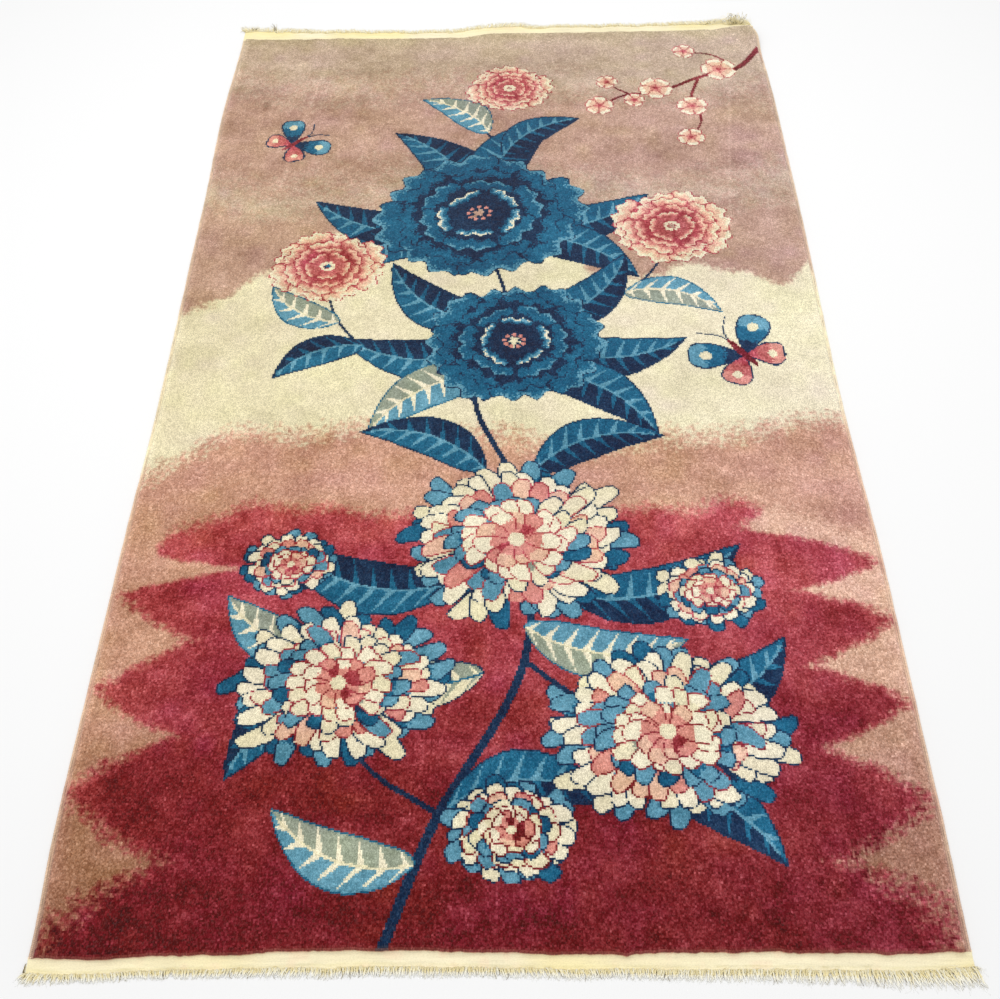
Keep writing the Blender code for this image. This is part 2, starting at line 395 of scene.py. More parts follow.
def smooth_line(points, step):
    """Points about a step apart on a smooth curve through the given ones."""
    p = [np.array(point, float) for point in points]
    p = [2 * p[0] - p[1], *p, 2 * p[-1] - p[-2]]
    line = []
    for before, start, stop, after in zip(p, p[1:], p[2:], p[3:]):
        count = max(int(np.hypot(*(stop - start)) / step), 2)
        for t in np.arange(count) / count:
            line.append(
                start
                + 0.5 * t * (stop - before)
                + t * t * (before - 2.5 * start + 2 * stop - 0.5 * after)
                + 0.5 * t**3 * (3 * start - before - 3 * stop + after)
            )
    return [*line, p[-2]]


def chart_dot(x, y, radius, yarn):
    area = knots_near(x, y, radius + 3)
    chart[area][np.hypot(KNOT_X[area] - x, KNOT_Y[area] - y) < radius] = YARN_CODES[yarn]


def polar(angle, squash=1.0):
    return np.array((math.cos(angle), math.sin(angle) * squash))


def chart_stem(points, width, yarn="navy", taper=0.4):
    """A stem that narrows from its first point to its last."""
    line = smooth_line(points, 2.0)
    for place, (x, y) in enumerate(line):
        radius = max(width / 2 * (1 + (taper - 1) * place / (len(line) - 1)), 1.5)
        chart_dot(x, y, radius, yarn)


# A slender-petalled head's rings from the outside in. outer and inner are shares of its radius, and
# each petal takes one of the ring's tints, which run from its root to its tip.
COOL_TINTS = (("navy", "teal"), ("teal", "sky"), ("navy", "teal", "sky"), ("sage", "cream"))
PALE_TINTS = (("sage", "cream"), ("peach", "cream", "ivory"), ("cream", "ivory"), ("sky", "ivory"))
WARM_TINTS = (("brick", "pink"), ("pink", "peach"), ("pink", "cream"), ("teal", "sky"))
HEART_TINTS = (("burgundy", "pink"), ("pink", "peach"), ("pink", "ivory"))
Ring = namedtuple("Ring", "outer inner petals tints line")
SLENDER_RINGS = (
    Ring(1.00, 0.35, 30, COOL_TINTS, "navy"),
    Ring(0.88, 0.30, 27, PALE_TINTS, "navy"),
    Ring(0.74, 0.24, 24, WARM_TINTS, "burgundy"),
    Ring(0.60, 0.18, 20, COOL_TINTS, "navy"),
    Ring(0.48, 0.12, 16, PALE_TINTS, "burgundy"),
    Ring(0.34, 0.06, 11, HEART_TINTS, "burgundy"),
)


def chart_chrysanthemum(x, y, radius, turn, fullness=1.0, squash=0.8):
    """Rings of slender petals round a small eye."""
    chance = np.random.default_rng(round(abs(x) * 3 + abs(y)))
    for order, ring in enumerate(SLENDER_RINGS):
        petals = round(ring.petals * fullness)
        for i in range(petals):
            angle = turn + math.tau * (i + 0.5 * (order % 2) + chance.uniform(-0.2, 0.2)) / petals
            way = polar(angle, squash)
            root = (x, y) + way * radius * ring.inner
            reach = way * radius * (ring.outer * chance.uniform(0.88, 1.08) - ring.inner)
            tints = ring.tints[chance.integers(len(ring.tints))]
            chart_petal(
                *root,
                np.hypot(*reach),
                math.atan2(reach[1], reach[0]),
                math.tau * radius * ring.outer / petals * 0.92,
                tints,
                ring.line,
                bend=chance.uniform(-0.14, 0.14),
                root=0.6,
                tip=0.36,
            )
    chart_dot(x, y, radius * 0.07, "cream")


STAMENS = 9
LobedRing = namedtuple("LobedRing", "size petals start width")
LOBED_RINGS = (
    LobedRing(1.00, 8, 0.0, 0.84),
    LobedRing(0.80, 7, 0.45, 0.72),
    LobedRing(0.60, 6, 0.15, 0.60),
    LobedRing(0.40, 5, 0.60, 0.44),
)
# A wide-petalled head's tints by ring from the outside in, each from a petal's root to its tip.
HeadTints = namedtuple("HeadTints", "rings line eye")
PINK_HEAD = HeadTints(
    rings=(
        ("burgundy", "pink", "peach", "peach", "cream", "ivory"),
        ("brick", "pink", "peach", "cream"),
        ("burgundy", "brick", "pink", "peach", "peach"),
        ("brick", "pink", "peach", "cream"),
    ),
    line="burgundy",
    eye="cream",
)
BLUE_HEAD = HeadTints(
    rings=(
        ("navy", "teal", "teal", "teal", "sky"),
        ("navy", "navy", "teal", "teal"),
        ("navy", "teal", "teal", "teal", "sky"),
        ("navy", "teal", "sky", "ivory"),
    ),
    line="navy",
    eye="pink",
)


def chart_peony(x, y, radius, turn, tints, squash=0.86):
    """Rings of wide lobed petals round a ring of stamens."""
    for ring, yarns in zip(LOBED_RINGS, tints.rings):
        for i in range(ring.petals):
            angle = turn + ring.start + math.tau * i / ring.petals
            way = polar(angle, squash)
            length = radius * ring.size * np.hypot(*way) * (1 + 0.07 * math.sin(3 * i + 1))
            chart_petal(
                *((x, y) + way * radius * ring.size * 0.10),
                length,
                math.atan2(way[1], way[0]),
                radius * ring.width,
                yarns,
                tints.line,
                start=0.62,
                root=1.1,
                tip=0.34,
                lobes=3,
            )
    for i in range(STAMENS):
        spot = (x, y) + polar(turn + math.tau * i / STAMENS) * radius * (0.12, 0.10)
        chart_dot(*spot, 4.2, tints.eye)


def chart_blossom(x, y, radius, turn):
    """Five round petals of a plum blossom."""
    yarns = ("pink", "peach", "ivory")
    for i in range(5):
        angle = turn + math.tau * i / 5
        chart_petal(x, y, radius, angle, radius * 0.95, yarns, "brick", root=0.9, tip=0.35)
    chart_dot(x, y, 5.0, "burgundy")


Wing = namedtuple("Wing", "swing length width yarns")
WINGS = (
    Wing(0.95, 1.0, 0.62, ("navy", "teal", "sky")),
    Wing(2.15, 0.72, 0.56, ("burgundy", "brick", "pink")),
)
FEELER = ((0.0, 0.4), (0.12, 0.65), (0.35, 0.95))  # its points, as turns and shares of the size


def chart_butterfly(x, y, size, turn):
    """Two pairs of wings, a body and feelers. turn is where its head points."""
    for hand in (-1, 1):
        for wing in WINGS:
            way = turn + hand * wing.swing
            length, width = size * wing.length, size * wing.width
            petal = chart_petal(x, y, length, way, width, wing.yarns, "navy", 3.4, root=1.0, tip=0.4)
            petal.lay(np.hypot(petal.along - 0.68, petal.side * 0.35) < 0.11, "cream")
        chart_stem([(x, y) + polar(turn + hand * angle) * size * far for angle, far in FEELER], 3)
    tail = (x, y) - polar(turn) * size * 0.35
    body = Blade(*tail, size * 0.8, turn, size * 0.13, root=0.5, tip=0.5)
    body.lay(body.inside, "wine")


# Where the motifs are, in millimetres from the field's middle. Turns are radians from +X.
Stem = namedtuple("Stem", "width points")
STEMS = (
    Stem(15, ((-150, -1040), (-80, -860), (40, -620), (40, -330), (-40, -100), (20, 100), (-40, 360))),
    Stem(9, ((40, -620), (150, -700), (240, -720))),
    Stem(9, ((-80, -860), (-190, -780), (-235, -660))),
    Stem(9, ((-40, -100), (-190, -20), (-300, 100), (-335, 230))),
    Stem(9, ((0, 60), (150, 100), (280, 200), (345, 330))),
    Stem(9, ((-40, 360), (20, 560), (-40, 700), (20, 800))),
)
TWIGS = (
    Stem(13, ((603, 960), (540, 880), (450, 850), (360, 800), (290, 790), (215, 750))),
    Stem(8, ((450, 850), (425, 770), (440, 700), (415, 630))),
    Stem(7, ((540, 880), (500, 930), (430, 950))),
    Stem(6, ((290, 790), (240, 830))),
)
Leaf = namedtuple("Leaf", "x y length turn width bend tints", defaults=[BLUE_LEAF])
LEAVES = (
    # Round the upper blue head
    Leaf(-60, 400, 320, 2.10, 124, -0.16),
    Leaf(-20, 410, 330, 1.10, 126, 0.16),
    Leaf(-80, 360, 310, 2.85, 112, 0.14),
    Leaf(10, 360, 310, 0.30, 112, -0.14),
    Leaf(-90, 330, 300, 3.55, 108, -0.14),
    Leaf(10, 330, 290, -0.45, 108, 0.14),
    # Round the lower blue head
    Leaf(0, 90, 270, 2.45, 104, 0.16),
    Leaf(50, 90, 270, 0.75, 104, -0.16),
    Leaf(0, 30, 290, 3.05, 104, 0.14),
    Leaf(60, 30, 290, 0.05, 104, -0.14),
    Leaf(0, -30, 270, 3.70, 98, -0.14, SAGE_LEAF),
    Leaf(60, -30, 270, -0.62, 98, 0.14),
    # Along the side stems
    Leaf(-300, 100, 170, 2.50, 72, 0.14, SAGE_LEAF),
    Leaf(-250, 40, 180, 3.60, 74, -0.14),
    Leaf(240, 165, 190, -0.30, 76, 0.16, SAGE_LEAF),
    Leaf(10, 580, 210, 0.65, 84, 0.14),
    Leaf(-20, 660, 200, 2.40, 80, -0.14, SAGE_LEAF),
    # Between the slender-petalled heads
    Leaf(-20, -260, 240, 2.75, 88, -0.16),
    Leaf(60, -260, 240, 0.30, 88, 0.16),
    Leaf(-60, -480, 300, 2.85, 100, 0.16),
    Leaf(100, -500, 300, 0.30, 100, -0.16),
    Leaf(-20, -640, 250, 3.00, 88, 0.14, CREAM_LEAF),
    Leaf(40, -560, 250, -0.10, 88, -0.14, SAGE_LEAF),
    Leaf(-210, -640, 240, 3.90, 92, -0.14),
    Leaf(-250, -600, 200, 2.60, 84, 0.14, SAGE_LEAF),
    Leaf(260, -700, 210, 0.60, 84, -0.14),
    Leaf(200, -800, 230, -0.60, 86, 0.12),
    Leaf(-70, -850, 240, 0.05, 92, 0.16),
    Leaf(-110, -930, 220, 2.75, 84, 0.16, SAGE_LEAF),
)
Head = namedtuple("Head", "x y radius turn")
BLOSSOMS = (
    Head(222, 752, 32, 0.2),
    Head(243, 838, 24, 1.2),
    Head(350, 812, 38, 0.9),
    Head(425, 745, 34, 0.4),
    Head(412, 636, 30, 1.0),
    Head(500, 880, 40, 0.6),
    Head(428, 952, 26, 0.1),
    Head(300, 770, 24, 1.4),
)
PINK_PEONIES = (Head(-335, 255, 100, 0.4), Head(345, 350, 108, 1.1), Head(25, 820, 84, 0.2))
BLUE_PEONIES = (Head(30, 40, 150, 0.9), Head(-40, 400, 186, 0.2))
CHRYSANTHEMUMS = (Head(30, -400, 196, 0.2), Head(-235, -655, 170, 0.7), Head(245, -735, 180, 0.1))
SMALL_CHRYSANTHEMUMS = (Head(330, -500, 86, 0.3), Head(-330, -440, 80, 0.8), Head(20, -880, 96, 0.5))
BUTTERFLIES = (Head(450, 0, 104, 2.2), Head(-440, 640, 84, 0.7))
SMALL_FULLNESS = 0.6
# In the order in which they are laid over each other, each with what its places don't say
MOTIFS = (
    (chart_leaf, LEAVES),
    (chart_peony, PINK_PEONIES, PINK_HEAD),
    (chart_peony, BLUE_PEONIES, BLUE_HEAD),
    (chart_chrysanthemum, SMALL_CHRYSANTHEMUMS, SMALL_FULLNESS),
    (chart_chrysanthemum, CHRYSANTHEMUMS),
    (chart_butterfly, BUTTERFLIES),
    (chart_blossom, BLOSSOMS),
)


def draw_chart():
    """Charts the whole field, and returns its grounds alone."""
    chart_grounds()
    grounds = chart.copy()
    for stem in STEMS:
        chart_stem(stem.points, stem.width)
    for twig in TWIGS:
        chart_stem(twig.points, twig.width, "wine")
    for chart_one, places, *looks in MOTIFS:
        for place in places:
            chart_one(*place, *looks)
    return grounds


# Grounds whose dye fades into another yarn's along the rug, from start to stop in millimetres
Fade = namedtuple("Fade", "yarn into start stop")
FADES = (
    Fade("burgundy", "wine", -460, -1020),
    Fade("brick", "burgundy", -500, -900),
    Fade("rose", "tan", -600, -960),
    Fade("sand", "tan", -560, -1000),
)
# Worn lines where the pile parts and shows paler, as widths, shades in steps of the screen, and points
# in millimetres
Crease = namedtuple("Crease", "width shade points")
CREASES = (
    Crease(9, 13, ((-397, 926), (-427, 703), (-455, 500))),
    Crease(7, 12, ((512, 800), (485, 561), (462, 371))),
    Crease(10, -8, ((-300, 1020), (-290, 860), (-310, 700))),
)
# A stain, a rubbed patch, a broad patch of painted light at the far left and, from the fourth one on,
# bits of lint. In millimetres, and shades in steps of the screen.
Spot = namedtuple("Spot", "x y width length shade")
SPOTS = (
    Spot(-514, 777, 9, 22, -26),
    Spot(-480, 760, 30, 16, 8),
    Spot(-480, 900, 170, 110, 13),
    Spot(-318, -999, 2, 3, 70),
    Spot(-147, -1013, 3, 2, 60),
    Spot(326, -945, 2, 4, 70),
    Spot(-60, -985, 2, 2, 50),
    Spot(430, -760, 2, 3, 60),
)
RIGHTWARD_SHEEN = np.array((5, 6, 10))  # painted sheen: how much paler and bluer the pile is painted at the right side than in the middle
SIDE_HIGHLIGHT = (19, 11)  # painted highlight: steps by which the pile is painted paler along its left and its right side
RIM_BROWN = np.array((148, 88, 72))  # a brownish tint over the pile's last rows at the near end, kept pale as painted light against the shade at the edge
FAR_CAST = np.array((-2, 3, -7))  # how much greener the pile is at its far end
GROUND_BLEND = 0.6  # the share of its neighbours' colour that a knot of a ground shows
KNOT_BLEND = 0.15  # and that any knot shows
# How the pile is uneven, from its dye and as painted sheen, each row a height, a size in millimetres, a seed
# and a stretch
MOTTLES = ((1.3, 70, 41, 2.5), (1.3, 32, 42, 1.3), (0.9, 14, 43, 1.1), (0.6, 7, 47))
STREAKS = ((0.5, 10, 48, 0.35), (0.25, 3.2, 44, 4.0))
CASTS = ((1.2, 90, 45, 1.5), (1.2, 30, 46))


def wear_and_painted_light():
    """How much paler each knot is from creases, spots and lint, and from a broad patch of painted light, in
    steps of the screen.
    """
    shade = np.zeros_like(KNOT_X)
    for crease in CREASES:
        distance = np.full_like(KNOT_X, 1e3)
        for x, y in smooth_line(crease.points, 4.0):
            distance = np.minimum(distance, np.hypot(KNOT_X - x, KNOT_Y - y))
        shade += crease.shade * smooth(1 - distance / crease.width)
    for spot in SPOTS:
        distance = np.hypot((KNOT_X - spot.x) / spot.width, (KNOT_Y - spot.y) / spot.length)
        shade += spot.shade * smooth(1.3 - distance)
    return shade


def linear(colour):
    """A screen colour, 0 to 255, as the light it stands for."""
    share = np.asarray(colour, float) / 255
    return np.where(share <= 0.04045, share / 12.92, ((share + 0.055) / 1.055) ** 2.4)


def softened(colours, share):
    """Each knot's colour with a share of its four neighbours', as cut pile spreads over them."""
    edged = np.pad(colours, ((1, 1), (1, 1), (0, 0)), mode="edge")
    beside = (edged[:-2, 1:-1] + edged[2:, 1:-1] + edged[1:-1, :-2] + edged[1:-1, 2:]) / 4
    return colours + (beside - colours) * share


def dyed(codes):
    """Screen colours of a chart's yarns, with their fades."""
    table = np.array(list(YARNS.values()))[:, :3]
    colours = table[codes]
    for fade in FADES:
        share = np.clip((KNOT_Y - fade.start) / (fade.stop - fade.start), 0, 1)
        faded = toward(colours, table[YARN_CODES[fade.into]], share)
        colours = np.where((codes == YARN_CODES[fade.yarn])[..., None], faded, colours)
    return colours


def knot_colours(grounds):
    """Each knot's own colour: its yarn's, mottled by its dye and painted sheen, grained along its column and
    its row, marked, and with painted light along its sides, towards the right and on the near end's last
    rows.
    """
    x, y = KNOT_X, KNOT_Y
    plain = softened(dyed(grounds), GROUND_BLEND)
    colours = np.where((chart == grounds)[..., None], plain, dyed(chart))
    colours = softened(colours, KNOT_BLEND)
    table = np.array(list(YARNS.values()))
    mottle, grain, drift = (table[chart, column] for column in (3, 4, 5))
    chance = np.random.default_rng(5)
    knots = chance.normal(0, 0.95, x.shape) + chance.normal(0, 0.08, (ROWS, 1))
    knots += clouds(x, y, *STREAKS)
    knots += 0.4 * cloud(x, y, 5.5, seed=49)
    knots = np.maximum(knots, -1.2)
    side, end = FIELD_WIDTH / MM / 2, PILE_LENGTH / MM / 2
    # paler or darker by place: dye and painted sheen, knot grain, and marks with a patch of painted light
    paler = mottle * clouds(x, y, *MOTTLES) + grain * knots + wear_and_painted_light()
    # painted highlight along both sides of the pile
    paler += np.where(x < 0, *SIDE_HIGHLIGHT) * smooth((abs(x) - side) / 14 + 1)
    cast = clouds(x, y, *CASTS)
    pinker = np.stack([0 * x, -0.5 * drift * cast, drift * cast], axis=-1)
    # painted sheen: paler and bluer towards the right side
    colours = colours + paler[..., None] + pinker + RIGHTWARD_SHEEN * (x / side)[..., None]
    # the near end's last rows turn brownish, kept pale as painted light against the shade there
    colours += (RIM_BROWN - colours) * 0.7 * smooth(1 - (end + y) / 7)[..., None]
    colours += FAR_CAST * smooth(1 - (end - y) / 60)[..., None]
    return linear(np.clip(colours, 2, 253))


# --- meshes -----------------------------------------------------------------------------------------


def add_mesh(name, points, quads, material, others=()):
    """A smooth mesh that rides on the root body. points are in the plan's frame, quads is an array of
    corner numbers, and others lists faces with other numbers of corners."""
    corners = np.concatenate([quads.ravel(), *others]).astype(np.int32)
    counts = np.array([quads.shape[1]] * len(quads) + [len(face) for face in others])
    mesh = bpy.data.meshes.new(name)
    mesh.vertices.add(len(points))
    mesh.vertices.foreach_set("co", (points + ORIGIN).astype(np.float32).ravel())
    mesh.loops.add(len(corners))
    mesh.loops.foreach_set("vertex_index", corners)
    mesh.polygons.add(len(counts))
    starts = np.concatenate([[0], np.cumsum(counts)[:-1]])
    mesh.polygons.foreach_set("loop_start", starts.astype(np.int32))
    mesh.update(calc_edges=True)
    mesh.validate()
    mesh.shade_smooth()
    mesh.materials.append(material)
    obj = bpy.data.objects.new(name, mesh)
    bpy.context.scene.collection.objects.link(obj)
    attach(obj, "root")
    return obj


def paint_faces(obj, colours):
    """Gives each face its own colour, in the attribute that the materials read."""
    rgba = np.concatenate([np.clip(colours, 0, 1), np.ones((len(colours), 1))], axis=1)
    yarn = obj.data.attributes.new("yarn", "FLOAT_COLOR", "FACE")
    yarn.data.foreach_set("color", rgba.astype(np.float32).ravel())


def map_plan(obj, uv, quads):
    """The texture map of a piece that is one grid of points."""
    layer = obj.data.uv_layers.new(name="OFBake")
    layer.data.foreach_set("uv", uv[quads.ravel()].astype(np.float32).ravel())


def grid_quads(rows, columns):
    """The quads of a grid of points, facing up where rows run along +Y and columns along +X."""
    at = (np.arange(rows - 1)[:, None] * columns + np.arange(columns - 1)).ravel()
    return np.stack([at, at + 1, at + columns + 1, at + columns], axis=1)


def grid_shares(rows, columns):
    along, across = np.mgrid[0:rows, 0:columns]
    return np.stack([across / (columns - 1), along / (rows - 1)], axis=-1).reshape(-1, 2)


def tube_quads(tubes, rings, sides):
    """The quads of tubes whose points run ring by ring, facing out where the rings turn to the left."""
    tube = np.arange(tubes)[:, None, None] * rings * sides
    ring = np.arange(rings - 1)[None, :, None] * sides
    side = np.arange(sides)[None, None, :]
    here, beside = tube + ring + side, tube + ring + (side + 1) % sides
    return np.stack([here, here + sides, beside + sides, beside], axis=-1).reshape(-1, 4)


def tube_caps(tubes, rings, sides):
    """The two end faces of each tube, its first one first."""
    caps = []
    for tube in range(tubes):
        first = tube * rings * sides
        last = first + (rings - 1) * sides
        caps.append(np.arange(first, first + sides))
        caps.append(np.arange(last + sides - 1, last - 1, -1))
    return caps


def tube_points(paths, radii, sides):
    """Points of tubes round paths. paths is tubes by rings by 3, and radii tubes by rings."""
    ahead = np.gradient(paths, axis=1)
    ahead /= np.linalg.norm(ahead, axis=-1, keepdims=True)
    across = np.cross(ahead, (0.0, 0.0, 1.0))
    across /= np.linalg.norm(across, axis=-1, keepdims=True)
    above = np.cross(across, ahead)
    turns = math.tau * (np.arange(sides) + 0.5) / sides
    offset = across[:, :, None] * np.cos(turns)[:, None] + above[:, :, None] * np.sin(turns)[:, None]
    return (paths[:, :, None] + offset * radii[:, :, None, None]).reshape(-1, 3)


# --- the pile ---------------------------------------------------------------------------------------

BANDS = 4
WALL_HEIGHTS = (6.8 * MM, 3.4 * MM, 0.0)  # of the rings of points down the pile's walls
RIM_DROPS = (2.4 * MM, 0.5 * MM)  # how much lower the pile's outermost points are
TUFT_UNEVENNESS = 0.20 * MM
TUFT_LIMIT = 0.7 * MM
TUFT_SINK = 0.3 * MM  # how much lower than the frame's the top is, so that its tufts reach that
END_RAGGEDNESS = 1.1 * MM
SIDE_DIM = 0.8  # how dark the pile's side walls are painted, as painted shade
END_WALL_TINT_AND_LIGHT = 0.65  # the share of its wall tint, partly painted light, that an end's wall shows
WALL_TINTS = linear(((158, 102, 84), (210, 162, 134), (226, 188, 156)))  # down an end, from its top: the foundation's tan, painted paler towards the floor as painted light against the shade at the wall's foot


def field_place(across, along):
    """Plan x and y of shares across and along the field, which follow its uneven outline."""
    y = (along - 0.5) * PILE_LENGTH
    x = (across - 0.5) * FIELD_WIDTH
    for _ in range(3):
        left = side_x(y, -1, CORD_WIDTH + GAP)
        right = side_x(y, 1, CORD_WIDTH + GAP)
        x = left + (right - left) * across
        near, far = (end_y(x, end, end_raggedness(x, end)) for end in ("near", "far"))
        y = near + (far - near) * along
    return x, y


def end_raggedness(x, end):
    """How far the tufts at an end hang over its web."""
    seed = end_seed(51, end)
    return END_RAGGEDNESS * (ripple(x, 24 * MM, seed) + 0.5 * ripple(x, 6 * MM, seed + 2))


def pile_points():
    """The grid of the pile's points with its walls, and the row and column of the chart at each."""
    wall = len(WALL_HEIGHTS)
    rows = np.arange(-wall, ROWS + 1 + wall)
    columns = np.arange(-wall, COLUMNS + 1 + wall)
    column_grid, row_grid = np.meshgrid(columns, rows)
    across = np.clip(column_grid / COLUMNS, 0, 1)
    along = np.clip(row_grid / ROWS, 0, 1)
    x, y = field_place(across, along)

    # The worn top, uneven as in the frame, with every tuft a little higher or lower
    from_side = np.minimum(across, 1 - across) * FIELD_WIDTH
    from_end = np.minimum(along, 1 - along) * PILE_LENGTH
    fade = np.clip(np.minimum(from_side, from_end) / STATION, 0, 1)
    turn_x, turn_y = math.tau * x / PILE_WAVE_X, math.tau * y / PILE_WAVE_Y
    wave = PILE_WAVE * np.sin(turn_x + np.sin(turn_y)) * np.cos(turn_y) * fade
    chance = np.random.default_rng(3)
    tufts = chance.normal(0, TUFT_UNEVENNESS, x.shape)
    tufts += chance.normal(0, 0.3 * TUFT_UNEVENNESS, (len(rows), 1))
    tufts += 0.25 * MM * cloud(x, y, 14 * MM, seed=61)
    z = PILE_HEIGHT - TUFT_SINK + wave + np.clip(tufts, -TUFT_LIMIT, TUFT_LIMIT)

    # The rim and the walls
    in_columns = np.minimum(column_grid, COLUMNS - column_grid)
    in_rows = np.minimum(row_grid, ROWS - row_grid)
    depth = np.minimum(in_columns, in_rows)
    for ring, drop in enumerate(RIM_DROPS):
        z = np.where(depth == ring, z - drop, z)
    for ring, height in enumerate(WALL_HEIGHTS):
        z = np.where(depth == -1 - ring, height, z)
    points = np.stack([x, y, z + lift(x, y)], axis=-1)
    return points, rows, columns


def make_pile(material, colours):
    """The pile as bands of knots, one face to a knot, each band under the limit for one piece."""
    points, rows, columns = pile_points()
    wall = len(WALL_HEIGHTS)
    cuts = [round(i * ROWS / BANDS) + wall for i in range(BANDS + 1)]
    cuts[0], cuts[-1] = 0, len(rows) - 1
    bands = []
    for number, (start, stop) in enumerate(zip(cuts, cuts[1:]), start=1):
        part = points[start : stop + 1]
        quads = grid_quads(*part.shape[:2])
        row = rows[start:stop].repeat(len(columns) - 1)
        column = np.tile(columns[:-1], stop - start)
        past_end = np.maximum(-row, row - ROWS + 1)  # rings down the wall, from 1
        past_side = np.maximum(-column, column - COLUMNS + 1)
        tint = colours[np.clip(row, 0, ROWS - 1), np.clip(column, 0, COLUMNS - 1)]
        # painted shade on the side walls
        tint = np.where((past_side > 0)[:, None], tint * SIDE_DIM, tint)
        # end walls: the foundation's tan, painted paler downwards as painted light
        for ring, wall_tint in enumerate(WALL_TINTS, start=1):
            wall_tint_and_light = (1 - END_WALL_TINT_AND_LIGHT) * tint + END_WALL_TINT_AND_LIGHT * wall_tint
            tint = np.where((past_end == ring)[:, None], wall_tint_and_light, tint)
        kept = ~((past_end > 0) & (past_side > 0))
        band = add_mesh(f"pile_{number}", part.reshape(-1, 3), quads[kept], material)
        paint_faces(band, tint[kept])
        map_plan(band, grid_shares(*part.shape[:2]), quads[kept])
        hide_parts("pile_field")
        bands.append(band)
    return bands


BACK_STEP = 3  # knots to a face of the back
UNDERSIDE = 0.1 * MM  # how far above the frame's the undersides are


def make_back(material, colours):
    """The underside, where the knots' backs show the same design."""
    rows = np.linspace(0, 1, ROWS // BACK_STEP + 1)
    columns = np.linspace(0, 1, COLUMNS // BACK_STEP + 1)
    across, along = np.meshgrid(columns, rows)
    x, y = field_place(across, along)
    points = np.stack([x, y, lift(x, y) + UNDERSIDE], axis=-1)
    quads = grid_quads(len(rows), len(columns))[:, ::-1]
    last_row, last_column = (len(rows) - 1) * BACK_STEP, (len(columns) - 1) * BACK_STEP
    tint = colours[:last_row:BACK_STEP, :last_column:BACK_STEP]
    back = add_mesh("rug_back", points.reshape(-1, 3), quads, material)
    paint_faces(back, tint.reshape(-1, 3))
    map_plan(back, grid_shares(len(rows), len(columns)), quads)
    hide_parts("pile_field")
    return back


# --- the webs ---------------------------------------------------------------------------------------

WEB_PITCH = 3.0 * MM  # between a web's columns of points
WEB_ROW = 1.4 * MM
WEB_TUCK = 2 * MM  # how far a web reaches in under the pile
FRAYING = {"near": 1.0 * MM, "far": 3.2 * MM}  # how uneven an end's outer edge is
FOLD = 0.64  # of the web's width, where a thicker weft makes a line
FOLD_WIDTH = 1.3 * MM
WEB_RISE = 2.0 * MM  # of a web's top at the pile's foot
WEB_FOOT = 6 * MM  # how far out from the pile it rises
WEB_SHARP = math.radians(50)  # from which on an edge of a web isn't smoothed
FRAYED_REACH = 4 * MM  # how far in from its edge a web is frayed and painted darker, as painted shade
# how far out from the pile its painted reflection on the web reaches
REFLECTION_REACH = 2.5 * MM
CREAM = linear((247, 237, 202))
YOLK = linear((247, 233, 172))
PINK_AND_REFLECTION = linear((254, 222, 190))  # pink: a painted reflection of the pile next to the web, and pinkish spots in the cotton
OLIVE = linear((214, 202, 146))
SHADE = linear((136, 122, 76))  # deep between the frayed wefts
WHITE = linear((255, 255, 252))
SHADED = {"near": 0.8, "far": 0.35}  # how dark an end's frayed edge is


def web_limits(end):
    return [float(side_x(end_y(np.array(0.0), end), hand)) for hand in (-1, 1)]


def web_width(x, end):
    """How far an end's web reaches out from the pile, with its uneven edge."""
    seed = end_seed(71, end)
    fray = ripple(x, 22 * MM, seed) + 0.4 * ripple(x, 6 * MM, seed + 2)
    return end_figure(x, end, "web") + FRAYING[end] * (fray + 0.5)


def web_height(x, y, outward, end):
    """The top of a web: up to the pile's foot, puckered by its wefts, and thinner at its frayed edge."""
    seed = end_seed(81, end)
    pucker = clouds(x, y, (0.35, 17 * MM, seed, 1.2), (0.15, 6 * MM, seed + 2, 0.7))
    rise = WEB_RISE * smooth(1 - outward * end_figure(x, end, "web") / WEB_FOOT)
    return WEB_HEIGHT * (1 - 0.25 * outward) + rise + MM * pucker * (0.3 + 0.7 * outward)


def web_colours(x, y, share, reach, from_fold, end):
    """A web's colours: a painted reflection of the pile next to it, pinkish spots, yellowed wefts, and
    painted shade along its fold and its frayed edge.
    """
    yellowed = 0.3 + 0.5 * cloud(x, y, 45 * MM, seed=94, stretch=2)
    if end == "far":
        yellowed += 0.5 * smooth((-0.25 - x) / 0.3)
    colour = toward(CREAM, YOLK, smooth(yellowed) * (0.4 + 0.6 * share))
    # painted reflection of the pile next to it, then pinkish spots all over
    pink_and_reflection = 0.7 * smooth(1 - share * reach / REFLECTION_REACH)
    pink_and_reflection += 0.3 * smooth(cloud(x, y, 14 * MM, seed=98) - 0.3)
    colour = toward(colour, PINK_AND_REFLECTION, pink_and_reflection)
    # painted shade: olive along the fold's far side and at the frayed edge, and dark flecks there
    near_frayed_edge = smooth(1 - (1 - share) * reach / FRAYED_REACH)
    dusk = 0.3 * np.exp(-((from_fold - 1.4) ** 2)) + 0.5 * near_frayed_edge
    dusk *= 0.7 + 0.6 * cloud(x, y, 9 * MM, seed=95)
    colour = toward(colour, OLIVE, np.clip(dusk, 0, 1))
    flecks = smooth(cloud(x, y, 2.6 * MM, seed=96) * 2 - 0.1) * near_frayed_edge
    flecks *= smooth(0.5 + cloud(x, y, 30 * MM, seed=97))
    colour = toward(colour, SHADE, SHADED[end] * flecks)
    shade = 1 + 0.05 * cloud(x, y, 1.8 * MM, seed=92, stretch=14) + 0.03 * cloud(x, y, 30 * MM, seed=93)
    return colour * shade[..., None]


